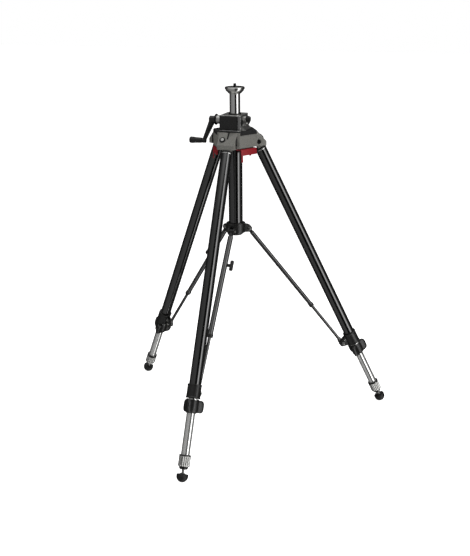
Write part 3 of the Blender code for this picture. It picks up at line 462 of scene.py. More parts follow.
def inset(outline, depth):
    """Moves each side of a closed flat outline inwards by `depth`, with mitred corners."""
    ahead = np.roll(outline, -1, axis=0) - outline
    ahead /= np.maximum(np.linalg.norm(ahead, axis=1, keepdims=True), 1e-12)
    behind = np.roll(ahead, 1, axis=0)
    normal = np.stack([-(ahead + behind)[:, 1], (ahead + behind)[:, 0]], -1)
    normal /= np.maximum(np.linalg.norm(normal, axis=1, keepdims=True), 1e-12)
    across = np.stack([-ahead[:, 1], ahead[:, 0]], -1)
    reach = np.clip((normal * across).sum(1, keepdims=True), 0.5, 1)
    return outline + normal * depth / reach


def prism(outline, low, high, edge=0.6 * MM, steps=3, top_edge=None):
    """A flat outline, listed anticlockwise, given height along Z, with quarter-round edges."""
    outline = np.asarray(outline, float)
    turn = np.linspace(0, np.pi / 2, steps + 1)
    above = edge if top_edge is None else top_edge
    levels = [(above * (1 - math.sin(a)), high - above * (1 - math.cos(a))) for a in turn]
    levels += [(edge * (1 - math.sin(a)), low + edge * (1 - math.cos(a))) for a in turn[::-1]]
    rings = []
    for depth, height in levels:
        ring = inset(outline, depth)
        rings.append(np.column_stack([ring, np.full(len(ring), height)]))
    return np.array(rings)


def rectangle(x_low, x_high, y_low, y_high, corner=0.0, steps=6):
    points = [(x_low, y_low), (x_high, y_low), (x_high, y_high), (x_low, y_high)]
    return fillet(points, corner, steps) if corner else np.array(points, float)


def copy_of(node, name):
    """A copy of a CAD node with its flat triangles merged."""
    mesh = frame["nodes"][node].data.copy()
    tidy = bmesh.new()
    tidy.from_mesh(mesh)
    bmesh.ops.remove_doubles(tidy, verts=tidy.verts, dist=1e-6)
    bmesh.ops.dissolve_limit(tidy, angle_limit=math.radians(1.5), verts=tidy.verts,
        edges=tidy.edges)
    tidy.to_mesh(mesh)
    tidy.free()
    item = bpy.data.objects.new(name, mesh)
    bpy.context.scene.collection.objects.link(item)
    return item


def soften(item, edge_mm, segments=3, angle=32):
    """Rounds the hard edges of an object."""
    step = item.modifiers.new("round", "BEVEL")
    step.width = edge_mm * MM
    step.segments = segments
    step.limit_method = "ANGLE"
    step.angle_limit = math.radians(angle)
    step.use_clamp_overlap = True
    bake(item)
    return item


def edge_wear(tree, shader, tone, bare, width_mm, amount):
    """Paint rubbed thin along outer edges: where the rounded normal leaves the true normal,
    broken up by noise, the colour shifts to that of the bare metal."""
    rounded = put(tree, "ShaderNodeBevel", {"samples": 4}, {"Radius": width_mm * MM})
    true = put(tree, "ShaderNodeNewGeometry")
    near = put(tree, "ShaderNodeVectorMath", {"operation": "DOT_PRODUCT"},
        {0: rounded.outputs["Normal"], 1: true.outputs["Normal"]})
    edge = put(tree, "ShaderNodeMapRange", None, {"Value": near.outputs["Value"],
        "From Min": 0.99, "From Max": 0.86, "To Min": 0.0, "To Max": amount})
    spot = put(tree, "ShaderNodeTexCoord")
    chips = put(tree, "ShaderNodeTexNoise", None, {"Vector": spot.outputs["Object"],
        "Scale": 1 / (2.5 * MM), "Detail": 4.0})
    broken = put(tree, "ShaderNodeMath", {"operation": "MULTIPLY"}, {0: edge.outputs["Result"],
        1: chips.outputs["Fac"]})
    worn = put(tree, "ShaderNodeMix", {"data_type": "RGBA"}, {"Factor": broken.outputs["Value"],
        "A": tone.outputs["Result"], "B": linear(bare)})
    tree.links.new(worn.outputs["Result"], shader.inputs["Base Color"])


def enamelled_casting(name, colour, fleck, grain_mm, depth_mm, roughness, wear):
    """Textured enamel: rounded bumps with dark flecks between them, over a casting."""
    finish, tree, shader = principled(name, colour, 0.0, roughness)
    spot = put(tree, "ShaderNodeTexCoord")
    cells = put(tree, "ShaderNodeTexVoronoi", {"feature": "SMOOTH_F1"},
        {"Vector": spot.outputs["Object"], "Scale": 1 / (grain_mm * MM), "Smoothness": 0.7})
    grain = put(tree, "ShaderNodeTexNoise", None, {"Vector": spot.outputs["Object"],
        "Scale": 1.6 / (grain_mm * MM), "Detail": 3.0})
    speck = put(tree, "ShaderNodeMapRange", None, {"Value": grain.outputs["Fac"],
        "From Min": 0.42, "From Max": 0.62})
    patch, _ = weather(tree, shader, spot.outputs["Object"], 30, (colour, colour),
        (roughness - 0.05, roughness + 0.06))
    tone = put(tree, "ShaderNodeMix", {"data_type": "RGBA"}, {"Factor": speck.outputs["Result"],
        "A": patch.outputs["Result"], "B": linear(fleck)})
    edge_wear(tree, shader, tone, "#8f8f8c", 1.2, wear)
    relief(tree, shader, cells.outputs["Distance"], depth_mm)
    return finish


grey_enamel = enamelled_casting("grey_speckled_enamel_on_casting", "#7f7e79", "#55544f", 1.1,
    0.12, 0.5, 0.5)
dark_enamel = enamelled_casting("dark_hammered_enamel_on_casting", "#1a1a19", "#0e0e0e", 1.6,
    0.15, 0.38, 0.4)

CORNER_FRONT = 92 * MM
CORNER_LEAN = math.radians(41.8)
SLOPE_START = 13 * MM
shoulder_low, shoulder_high = span("shoulder_casting")
shoulder = copy_of("shoulder_casting", "shoulder_casting_enamelled")
corner_screws = {}
cutters = []
for leg in LEGS:
    out, side = leg_axes(leg)
    normal = out * math.cos(CORNER_LEAN) + Vector((0, 0, math.sin(CORNER_LEAN)))
    rise = 14.5 * MM
    face_point = (Vector((0, axis_y, shoulder_low + SLOPE_START + rise)) + out * (CORNER_FRONT
        - rise * math.tan(CORNER_LEAN)))
    where = frame_at(face_point - side * 13 * MM, normal, side)
    corner_screws[leg] = where
    cutters.append(shape(f"{leg}_screw_recess", solid(mm((0, 3), (9.2, 3), (9, -1.2), (0, -1.2)),
        0.2 * MM, 40), where))
    notch = frame_at(face_point + side * 1.5 * MM, normal, side)
    cutters.append(shape(f"{leg}_notch", prism(rectangle(-2.6 * MM, 2.6 * MM, 3 * MM, 50 * MM,
        1 * MM), -4.6 * MM, 12 * MM, 0.1 * MM), notch))
soften(shoulder, 1.0, 3)
carve(shoulder, *cutters)
add(shoulder, grey_enamel, "head", "shoulder_casting", sharp=30)

# Turned and ground steel: fine rings left by the lathe, from noise stretched round the piece.


def turned_finish(name, colours, roughness, ring_mm=0.35, depth_mm=0.008, metallic=1.0):
    finish, tree, shader = principled(name, colours[0], metallic, roughness[0])
    spot = put(tree, "ShaderNodeTexCoord")
    stretched = put(tree, "ShaderNodeMapping", None, {"Vector": spot.outputs["UV"],
        "Scale": (20.0, 1 / (ring_mm * MM), 1.0)})
    rings = put(tree, "ShaderNodeTexNoise", None, {"Vector": stretched.outputs["Vector"],
        "Scale": 1.0, "Detail": 2.0})
    weather(tree, shader, spot.outputs["Object"], 12, colours, roughness)
    relief(tree, shader, rings.outputs["Fac"], depth_mm)
    return finish


bright_steel = turned_finish("bright_turned_steel", ("#b9b9b6", "#a3a3a0"), (0.2, 0.34))
black_steel = turned_finish("black_oxide_steel", ("#1b1b1c", "#262627"), (0.3, 0.45),
    metallic=0.6)


def hexagon(across_flats):
    corner = across_flats / math.sqrt(3)
    return [(corner * math.cos(a), corner * math.sin(a)) for a in np.arange(6) / 6 * 2 * math.pi]


def cap_screw(name, where, radius, height, finish, body, stands_for=(), depth=None, socket=0.5,
        slot="of the finish"):
    """A turned screw head on the plane Z = 0, with a hexagon socket sunk in it."""
    depth = 2 * MM if depth is None else depth
    head = shape(name, cylinder(radius, -depth, height, min(0.8 * MM, radius * 0.25), 48), where)
    hexagon_hole = shape(name + "_hexagon", prism(hexagon(radius * 2 * socket), height * 0.35,
        height + 2 * MM, 0.01 * MM, 1), where)
    carve(head, hexagon_hole)
    return add(head, finish, body, stands_for, sharp=35, slot=slot)


for leg in LEGS:
    cap_screw(f"{leg}_corner_screw", corner_screws[leg], 4.9 * MM, 3.2 * MM, bright_steel, "head",
        depth=2 * MM, socket=0.4)
    piece(f"{leg}_corner_ring", tube(8.7 * MM, 5.1 * MM, -2 * MM, 2.2 * MM, 0.6 * MM, 64),
        corner_screws[leg], matt_black, "head", loop=True)

# A matt black tab sits at the bottom of the notch of every corner: painted shade, a black sheet
# standing in for the shadow deep in the notch.
for leg in LEGS:
    shade_tab_frame = corner_screws[leg] @ Matrix.Translation((14.5 * MM, 0, 0))
    piece(f"{leg}_notch_tab", prism(rectangle(-2.5 * MM, 2.5 * MM, 3.2 * MM, 25 * MM, 0.8 * MM),
        -4.5 * MM, -0.9 * MM, 0.4 * MM), shade_tab_frame, matt_black, "head")

# A moulded plate covers the casting's top round the gearbox, so a dark line shows under it.
plan = []
for leg in LEGS:
    out, side = leg_axes(leg)
    top_front = (CORNER_FRONT - (shoulder_high - shoulder_low - SLOPE_START) * math.tan(
        CORNER_LEAN)) / MM
    for reach, offset in ((61.5, -35.0), (top_front, -29), (top_front, 29), (61.5, 35.0)):
        spot = out * reach * MM + side * offset * MM
        plan.append((spot.x, spot.y))
plan = inset(np.array(plan), 1.2 * MM)
box_low, box_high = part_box("gearbox_housing")
cover_low, cover_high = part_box("gearbox_cover")
top_plate = shape("shoulder_top_plate", prism(plan, shoulder_high - 0.4 * MM,
    shoulder_high + 1.6 * MM, 0.5 * MM), axis_place)
carve(top_plate, shape("gearbox_opening", prism(rectangle(-36.6 * MM, 30.6 * MM,
    cover_low.y - axis_y - 0.6 * MM, box_high.y - axis_y + 0.6 * MM), shoulder_high - 5 * MM,
    shoulder_high + 5 * MM, 0.1 * MM, 1), axis_place))
add(top_plate, matt_black, "head", sharp=30)
for number in range(3):
    wall = Matrix.Rotation(math.radians(120 * number - 30), 4, "Z")
    piece(f"shoulder_side_trim_{'abc'[number]}", prism(rectangle(54 * MM, 62.2 * MM, -33 * MM,
        33 * MM, 1.2 * MM), 931.5 * MM, shoulder_high + 1.5 * MM, 0.6 * MM, 6, 4 * MM),
        axis_place @ wall, matt_black, "head", sharp=50)


# One flank of every corner is covered by a matt black panel with an opening for the pin's head:
# painted shade, a black sheet standing in for the shadow on the flank and in the step beside it.
FLANK_ROOT, FLANK_FRONT = Vector((64 * MM, 28.5 * MM)), Vector((92 * MM, 26.5 * MM))
for leg in LEGS:
    out, side = leg_axes(leg)
    centre = Vector(joints[f"{leg}_leg_fold"]["pos_m"])
    base = Vector((0, axis_y, shoulder_low))
    root = base + out * FLANK_ROOT.x + side * FLANK_ROOT.y
    front = base + out * FLANK_FRONT.x + side * FLANK_FRONT.y
    along = (front - root).normalized()
    # X runs along the flank to the front, Y up and Z out of the casting, or in on the far side
    where = frame_at(root, along.cross(UP), along)
    # the panel is painted shade: it is black where the flank would only lie in shadow
    outline = fillet(mm((1.5, 2), (13, 2), (13, 26), (1.5, 39)), 1.6 * MM, 5)
    shade_panel = shape(f"{leg}_flank_panel", prism(outline, -0.9 * MM, 0.9 * MM, 0.3 * MM), where)
    carve(shade_panel, shape(f"{leg}_pin_opening", cylinder(7.4 * MM, 0, 40 * MM, 0.1 * MM, 48),
        frame_at(centre, side, out)))
    add(shade_panel, matt_black, "head", sharp=35)

# ---------------------------------------------------------------- hinge pins
# Each leg swings on a steel pin through its corner. Both heads have a hexagon socket.
for leg in LEGS:
    out, side = leg_axes(leg)
    centre = Vector(joints[f"{leg}_leg_fold"]["pos_m"])
    rod_radius = 3.5 * MM
    seat = 23.8 * MM
    piece(f"{leg}_hinge_shank", cylinder(rod_radius, -seat, seat, 0.2 * MM, 32), frame_at(centre,
        side, out), black_steel, "head", f"{leg}_hinge_pin")
    for end in (-1, 1):
        cap_screw(f"{leg}_hinge_head_{'ab'[end > 0]}", frame_at(centre + side * end * seat,
            side * end, out), 6.4 * MM, 3 * MM, black_steel, "head", depth=0.2 * MM)

# ---------------------------------------------------------------- spreader hub
# A dark casting clamped round the sleeve. Each arm hangs on a pin between two lugs.
hub_low, hub_high = span("spreader_hub")
HUB_RADIUS = 30 * MM
piece("hub_ring", tube(HUB_RADIUS, SLEEVE_RADIUS + 0.2 * MM, hub_low, hub_high, 1.2 * MM, 96),
    axis_place, dark_enamel, "head", "spreader_hub", loop=True)
piece("hub_band", tube(HUB_RADIUS - 4 * MM, SLEEVE_RADIUS + 0.1 * MM, hub_high - 1 * MM,
    hub_high + 1.6 * MM, 0.5 * MM, 96), axis_place, dark_enamel, "head", loop=True)
for leg in LEGS:
    out, side = leg_axes(leg)
    pivot = Vector(joints[f"{leg}_arm_fold"]["pos_m"])
    lug_outline = fillet([(25 * MM, hub_low), (44 * MM, hub_low - 0.6 * MM),
        (50 * MM, pivot.z - 4 * MM), (50 * MM, pivot.z + 5 * MM), (43 * MM, 641 * MM),
        (25 * MM, 645 * MM)], [0.1 * MM, 6 * MM, 5 * MM, 5 * MM, 6 * MM, 0.1 * MM], 6)
    for end in (-1, 1):
        near, far = sorted((end * 6.3 * MM, end * 11 * MM))
        # the outline's X and Y run outwards and up, and its height runs along the pin
        where = frame_at((0, axis_y, 0), -side, out)
        piece(f"{leg}_hub_lug_{'ab'[end > 0]}", prism(lug_outline, -far, -near, 0.9 * MM), where,
            dark_enamel, "head")
        cap_screw(f"{leg}_hub_bolt_{'ab'[end > 0]}", frame_at(pivot + side * end * 10.8 * MM,
            side * end, out), 4.6 * MM, 2.4 * MM, bright_steel, "head", depth=0.4 * MM)
    piece(f"{leg}_hub_shank", cylinder(3 * MM, -11 * MM, 11 * MM, 0.2 * MM, 24), frame_at(pivot,
        side, out), bright_steel, "head")

# ---------------------------------------------------------------- gearbox
# The housing is bare die-cast aluminium: a rounded block with a long shaft boss on the left
# and ribs, a plug and the lock boss on the right. A smooth black cover closes its front.


def bare_casting(name):
    """Tumbled die-cast aluminium: fine blast grain and slow grey patches."""
    finish, tree, shader = principled(name, "#c2c2c0", 1.0, 0.42)
    spot = put(tree, "ShaderNodeTexCoord")
    grain = put(tree, "ShaderNodeTexNoise", None, {"Vector": spot.outputs["Object"],
        "Scale": 1 / (0.6 * MM), "Detail": 3.0})
    weather(tree, shader, spot.outputs["Object"], 14, ("#cacac8", "#a9a9a6"), (0.34, 0.52))
    relief(tree, shader, grain.outputs["Fac"], 0.03)
    return finish


bare_aluminium = bare_casting("bare_die_cast_aluminium")
RECESS_HEIGHT = 964 * MM        # the round recess in the housing's right side
RECESS_FORWARD = 22.5 * MM      # and how far it sits in front of the column
box_outline = rectangle(box_low.x + 30 * MM, 30 * MM, box_low.y - axis_y, box_high.y - axis_y,
    7 * MM)
crank_at = Vector(joints["crank_turn"]["pos_m"])
lock_at = Vector(joints["column_lock_turn"]["pos_m"])
left, right = Vector((-1, 0, 0)), Vector((1, 0, 0))
housing = shape("gearbox_body", prism(box_outline, box_low.z, box_high.z, 1.4 * MM, 4),
    axis_place)
COLUMN_RADIUS = 16.3 * MM
carve(housing, shape("column_hole", cylinder(COLUMN_RADIUS + 0.3 * MM, 0, 2, 0.1 * MM, 96),
    axis_place), shape("pinion_hole", cylinder(9.3 * MM, -4.6 * MM, 4.6 * MM, 0.1 * MM, 48),
    frame_at((0, crank_at.y, crank_at.z), right, (0, 0, 1))), shape("round_recess",
    solid(mm((0, 9), (12, 9), (11.6, -4), (0, -4)), 0.6 * MM, 64),
    frame_at((30 * MM, axis_y - RECESS_FORWARD, RECESS_HEIGHT), right, (0, 0, 1))))
add(housing, bare_aluminium, "head", "gearbox_housing", sharp=35)
boss_start, boss_end = 34 * MM, 66 * MM
piece("gearbox_shaft_boss", tube(13.5 * MM, 4.8 * MM, boss_start, boss_end, 1 * MM),
    frame_at((0, crank_at.y, crank_at.z), left, (0, 0, 1)), bare_aluminium, "head", loop=True)
for name, height, radius, spot in (("bearing", 36 * MM, 13.3 * MM, crank_at), ("lock", 36 * MM,
        8.6 * MM, lock_at)):
    piece(f"gearbox_{name}_boss", tube(radius, 3.4 * MM, 28 * MM, height, 0.8 * MM),
        frame_at((0, spot.y, spot.z), right, (0, 0, 1)), bare_aluminium, "head", loop=True)
for number, (lean, length) in enumerate(((38, 19), (-38, 19))):
    turn = math.radians(lean)
    piece(f"gearbox_rib_{number}", prism(rectangle(-length * MM, length * MM, -1.3 * MM, 1.3 * MM,
        1.1 * MM), 28 * MM, 31.4 * MM, 0.7 * MM), frame_at((0, axis_y + 1 * MM, RECESS_HEIGHT),
        right, (0, math.cos(turn), math.sin(turn))), bare_aluminium, "head")

piece("gearbox_recess_plug", cylinder(11.4 * MM, 25 * MM, 28.6 * MM, 0.5 * MM),
    frame_at((0, axis_y - RECESS_FORWARD, RECESS_HEIGHT), right, (0, 0, 1)), matt_black, "head")

cover_outline = [(-36 * MM, cover_high.y - axis_y), (-34.5 * MM, cover_low.y - axis_y),
    (21.5 * MM, cover_low.y - axis_y), (30 * MM, cover_high.y - axis_y)]
cover_outline = fillet(cover_outline, [0.3 * MM, 3 * MM, 3 * MM, 0.3 * MM], 8)
satin_black = moulded("satin_black_cover", "#0c0c0c", "#121212", 0.28, 0.4, 0.012)
piece("gearbox_front_rail", prism(inset(cover_outline, -0.5 * MM), cover_low.z + 0.3 * MM,
    cover_low.z + 2.3 * MM, 0.6 * MM), axis_place, bare_aluminium, "head")
piece("gearbox_front_cover", prism(cover_outline, cover_low.z + 2.5 * MM, cover_high.z, 1.6 * MM,
    5), axis_place, satin_black, "head", "gearbox_cover", sharp=50)
piece("bearing_plug", solid(mm((0, 39), (8.5, 39), (8.5, 36.2), (8.9, 35.8), (8.9, 30), (0, 30)),
    0.5 * MM), frame_at((0, crank_at.y, crank_at.z), right, (0, 0, 1)), black_abs, "head",
    "bearing_cap")

piece("column_bush", tube(19.2 * MM, COLUMN_RADIUS + 0.25 * MM, box_high.z - 1 * MM,
    box_high.z + 3.4 * MM, 0.6 * MM, 96), axis_place, black_abs, "head", loop=True)
skirt_outline = mm((-32, 0), (34, 0), (30, 13), (-28, 13))
skirt = shape("gearbox_skirt", prism(fillet(skirt_outline, 2 * MM, 4), 27 * MM, 44 * MM,
    1.2 * MM), frame_at((0, axis_y, box_low.z + 1.6 * MM), right, (0, 1, 0)))
carve(skirt, shape("skirt_slope", prism(rectangle(-60 * MM, 60 * MM, 0, 20 * MM), 0, 20 * MM,
    0.01 * MM, 1), frame_at((42.5 * MM, axis_y, box_low.z + 3.4 * MM),
    (math.cos(math.radians(48)), 0, math.sin(math.radians(48))), (0, 1, 0))))
add(skirt, bare_aluminium, "head", sharp=35)

# ---------------------------------------------------------------- column, rack and head plate
# The column is satin drawn aluminium with a slot down its back for the steel rack. The plate
# is turned from bright aluminium, with a threaded 3/8 inch stud in its middle.
satin_aluminium, _, _ = drawn_tube_finish("satin_drawn_aluminium", ("#d6d6d5", "#c4c4c2"), 1.0,
    (0.14, 0.2), 0.9, 0.002)
rack_low, rack_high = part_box("column_rack")
column_low, column_high = span("column_tube")
column = shape("column_drawn_tube", tube(COLUMN_RADIUS, 9 * MM, column_low, column_high, 0.5 * MM,
    96), axis_place, loop=True)
carve(column, shape("rack_groove", prism(rectangle(rack_low.x - 0.3 * MM, rack_high.x + 0.3 * MM,
    rack_low.y - axis_y - 0.3 * MM, 20 * MM), rack_low.z - 0.3 * MM, rack_high.z + 0.3 * MM,
    0.01 * MM, 1), axis_place))
add(column, satin_aluminium, "column", "column_tube", sharp=30)
rack = frame["nodes"]["column_rack"]
rack.data.materials.clear()
rack.data.materials.append(bright_steel)

plate_low, plate_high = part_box("head_plate")
top = plate_high.z
plate_profile = [(4.9 * MM, top), (9 * MM, top), (9.6 * MM, top - 0.5 * MM), (10.2 * MM, top),
    (28.6 * MM, top), (30 * MM, top - 1.2 * MM), (30 * MM, top - 6.2 * MM),
    (29.2 * MM, top - 7 * MM), (26.4 * MM, top - 7.2 * MM), (26.4 * MM, top - 8.6 * MM),
    (28 * MM, top - 9 * MM), (27.6 * MM, top - 10.4 * MM), (19 * MM, top - 19.5 * MM),
    (8.7 * MM, top - 19.5 * MM), (8.7 * MM, plate_low.z), (4.9 * MM, plate_low.z)]
bright_aluminium = turned_finish("bright_turned_aluminium", ("#d9d9d7", "#c8c8c5"), (0.16, 0.3),
    0.5)
plate_rings = lathe(fillet(plate_profile, 0.5 * MM, 3), 96)
piece("head_plate_turned", plate_rings, axis_place, bright_aluminium, "column", "head_plate",
    loop=True, sharp=50, slot="polished_tube")


def thread(radius, depth, pitch, low, high, sides=32, tip=0.8 * MM):
    """A threaded rod: its radius follows a triangle wave of height less angle, and both tips
    are tapered."""
    count = int((high - low) / pitch * 8)
    height = np.concatenate([[high], np.linspace(high, low, count), [low]])
    base = np.full(len(height), radius)
    base -= np.clip((height - (high - tip)) / tip, 0, 1) * tip * 0.7
    base -= np.clip(((low + tip) - height) / tip, 0, 1) * tip * 0.7
    base[[0, -1]] = 0

    def wave(angle, at):
        phase = (at / pitch - angle / (2 * np.pi)) % 1
        return -depth * (1 - np.abs(2 * phase - 1))
    return lathe(np.stack([base, height], -1), sides, wave)


stud_low, stud_high = span("camera_stud")
piece("camera_stud_threaded", thread(4.7 * MM, 0.8 * MM, 1.5875 * MM, stud_low, stud_high, 48),
    axis_place, black_steel, "column", "camera_stud", sharp=60)

# ---------------------------------------------------------------- crank and lock knob
# A black shaft with its pinion carries a thin disc. The arm is a tapered, ribbed casting with
# a spinning grip. The lock knob is on the other side.
crank_frame = frame_at((0, crank_at.y, crank_at.z), left, (0, 0, -1))
disc_face = 66.3 * MM
piece("crank_shaft_black", solid([(0, 85 * MM), (4.4 * MM, 85 * MM),
    (4.4 * MM, disc_face + 4 * MM), (16.4 * MM, disc_face + 4 * MM),
    (17 * MM, disc_face + 3 * MM), (17 * MM, disc_face + 1 * MM), (16.4 * MM, disc_face),
    (4.4 * MM, disc_face), (4.4 * MM, -28 * MM), (0, -28 * MM)], 0.4 * MM, 80), crank_frame,
    black_steel, "crank", "crank_shaft", slot="black_plastic")


def gear_teeth(angle, height):
    """Twelve flat-topped teeth, 2.8 mm deep: a clipped triangle wave of the angle."""
    phase = (angle * 12 / (2 * np.pi)) % 1
    return np.clip((0.3 - np.abs(phase - 0.5)) * 8, -0.5, 0.5) * 2.8 * MM


piece("pinion_teeth", lathe(mm((0, 4), (7.0, 4), (7.0, -4), (0, -4)), 240, gear_teeth),
    crank_frame, bright_steel, "crank")

hub_face, hub_end = 70.6 * MM, 88.6 * MM
piece("crank_hub_cap", solid([(0, hub_end + 2 * MM), (7.6 * MM, hub_end + 2 * MM),
    (8.6 * MM, hub_end + 0.6 * MM), (8.6 * MM, hub_end - 1 * MM), (0, hub_end - 1 * MM)],
    0.6 * MM), crank_frame, bright_aluminium, "crank", slot="steel")
piece("crank_hub", solid([(0, hub_end + 1.2 * MM), (5 * MM, hub_end + 1.2 * MM),
    (6 * MM, hub_end), (10.5 * MM, hub_end), (10.5 * MM, hub_face), (4.8 * MM, hub_face),
    (4.8 * MM, hub_end - 3 * MM), (0, hub_end - 3 * MM)], 1.1 * MM), crank_frame, dark_enamel,
    "crank", "crank_arm")
hub_middle = (hub_face + hub_end) / 2
tip_reach, tip_drop = hub_middle + 30 * MM, 67 * MM
arm_start = Vector((-hub_middle, crank_at.y, crank_at.z))
arm_tip = Vector((-tip_reach, crank_at.y, crank_at.z - tip_drop))
arm_length = (arm_tip - arm_start).length


def ribs(count, depth, stretch=1.0):
    """Rounded ribs along a turned piece: the radius follows the cosine of the angle."""
    return lambda angle, height: depth * (np.abs(np.cos(angle * count / 2)) ** stretch - 1)


beam_profile = [(0, 0), (9.6 * MM, 0), (9.6 * MM, 14 * MM), (8.8 * MM, 26 * MM),
    (7.4 * MM, 50 * MM), (6.6 * MM, arm_length - 6 * MM), (5 * MM, arm_length + 2 * MM),
    (0, arm_length + 3 * MM)]
beam_profile = [(radius, arm_length - along) for radius, along in beam_profile]
piece("crank_beam", lathe(fillet(beam_profile, 3 * MM, 6, closed=False), 120, ribs(12, 0.9 * MM,
    0.7)), frame_at(arm_tip, arm_start - arm_tip, (1, 0, 0)), dark_enamel, "crank", sharp=60)
grip_face = tip_reach + 6.5 * MM
grip_frame = frame_at((0, arm_tip.y, arm_tip.z), left, (0, 0, 1))
for name, radius, low, high, finish in (("crank_grip_boss", 7.5 * MM, tip_reach - 6 * MM,
        grip_face, dark_enamel), ("crank_grip_pin", 3 * MM, tip_reach, grip_face + 30 * MM,
        bright_steel)):
    piece(name, cylinder(radius, low, high, 0.8 * MM, 48), grip_frame, finish, "crank",
        slot="cast_dark" if "boss" in name else "steel")
grip_low, grip_high = grip_face + 0.3 * MM, grip_face + 40.3 * MM
grip_outer = fillet([(0, grip_high), (8.6 * MM, grip_high), (10 * MM, grip_high - 3 * MM),
    (10 * MM, grip_high - 10 * MM), (9.0 * MM, grip_low + 22 * MM), (8.2 * MM, grip_low + 2 * MM),
    (7.2 * MM, grip_low), (3.3 * MM, grip_low), (3.3 * MM, grip_low + 30.3 * MM),
    (0, grip_low + 30.3 * MM)], 1.2 * MM, 5, closed=False)


def flutes(count, depth, low, high):
    """Narrow grooves along a turned piece between two heights, fading out at both ends."""
    def swell(angle, height):
        fade = np.clip((height - low) / (4 * MM), 0, 1) * np.clip((high - height) / (4 * MM), 0,
            1)
        groove = np.clip(1 - np.abs(((angle * count / (2 * np.pi)) % 1) - 0.5) * 5, 0, 1)
        return -depth * groove ** 0.8 * fade
    return swell


piece("crank_grip_moulded", lathe(grip_outer, 160, flutes(16, 0.6 * MM, grip_low + 4 * MM,
    grip_high - 4 * MM)), grip_frame, black_abs, "grip", "crank_grip", sharp=50)

knob_frame = frame_at((0, lock_at.y, lock_at.z), right, (0, 0, 1))
knob_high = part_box("column_lock_knob")[1]
knob_start = 36.6 * MM
knob_profile = fillet([(0, knob_high.x - 0.6 * MM), (4.5 * MM, knob_high.x - 0.6 * MM),
    (5.2 * MM, knob_high.x), (8.2 * MM, knob_high.x), (9.5 * MM, knob_start + 8 * MM),
    (9.5 * MM, knob_start + 1 * MM), (8.6 * MM, knob_start), (3 * MM, knob_start),
    (3 * MM, 16.9 * MM), (0, 16.9 * MM)], 0.8 * MM, 4, closed=False)
piece("column_lock_fluted", lathe(knob_profile, 144, lambda angle,
    height: np.where(height > knob_start + 0.8 * MM, flutes(18, 0.7 * MM, knob_start - 3 * MM,
    knob_high.x + 2 * MM)(angle, height), 0.0)), knob_frame, black_abs, "column_lock",
    "column_lock_knob", sharp=50)

# ---------------------------------------------------------------- leg fittings and upper tubes
# A grey cast fitting turns on the hinge pin and plugs the upper tube with a bright cap ring.
# From here on, every leg is made in its own frame: Z up the leg from the foot's centre, X
# outwards and Y along the hinge pin.
leg_frames, leg_length = {}, {}
for leg in LEGS:
    foot = Vector(joints[f"{leg}_foot_turn"]["pos_m"])
    hinge = Vector(joints[f"{leg}_leg_fold"]["pos_m"])
    side = UP.cross(heading(leg))
    run = hinge - foot
    leg_length[leg] = run.length
    leg_frames[leg] = frame_at(foot, run, side.cross(run))


def on_leg(leg, spot, z_axis=(0, 0, 1), x_hint=(1, 0, 0)):
    """A frame in a leg's own frame, moved and turned."""
    return leg_frames[leg] @ frame_at(spot, z_axis, x_hint)


along_pin, outward = (0, 1, 0), (1, 0, 0)
UPPER_RADIUS = 17.2 * MM
for leg in LEGS:
    length = leg_length[leg]
    body = f"{leg}_leg"
    eye = shape(f"{leg}_fitting_eye", cylinder(10 * MM, -14 * MM, 14 * MM, 1.2 * MM, 64),
        on_leg(leg, (0, 0, length), along_pin))
    hole = shape(f"{leg}_eye_hole", cylinder(3.8 * MM, -20 * MM, 20 * MM, 0.1 * MM, 32),
        on_leg(leg, (0, 0, length), along_pin))
    add(carve(eye, hole), grey_enamel, body, f"{leg}_leg_fitting")
    neck = shape(f"{leg}_fitting_neck", prism(rectangle(-8.8 * MM, 8.8 * MM, -13.4 * MM,
        13.4 * MM, 3 * MM), length - 24 * MM, length - 1 * MM, 0.8 * MM), leg_frames[leg])
    hole = shape(f"{leg}_neck_hole", cylinder(3.8 * MM, -20 * MM, 20 * MM, 0.1 * MM, 32),
        on_leg(leg, (0, 0, length), along_pin))
    add(carve(neck, hole), grey_enamel, body)
    ring_top, ring_low = length - 22 * MM, length - 30 * MM
    piece(f"{leg}_tube_cap", solid([(0, ring_top), (14.5 * MM, ring_top),
        (17.5 * MM, ring_top - 2.2 * MM), (17.5 * MM, ring_low), (15.2 * MM, ring_low),
        (15.2 * MM, ring_low - 38 * MM), (0, ring_low - 38 * MM)], 0.5 * MM, 96), leg_frames[leg],
        dark_enamel, body)
    piece(f"{leg}_cap_ring", tube(17.9 * MM, 16.4 * MM, ring_low + 0.2 * MM, ring_low + 2.6 * MM,
        0.5 * MM, 96), leg_frames[leg], bright_aluminium, body, loop=True, slot="cast_bright")
    piece(f"{leg}_upper_drawn_tube", tube(UPPER_RADIUS, 15.5 * MM, 228.3 * MM,
        ring_low - 0.3 * MM, 0.4 * MM, 96), leg_frames[leg], black_anodised, body,
        f"{leg}_upper_tube", loop=True)

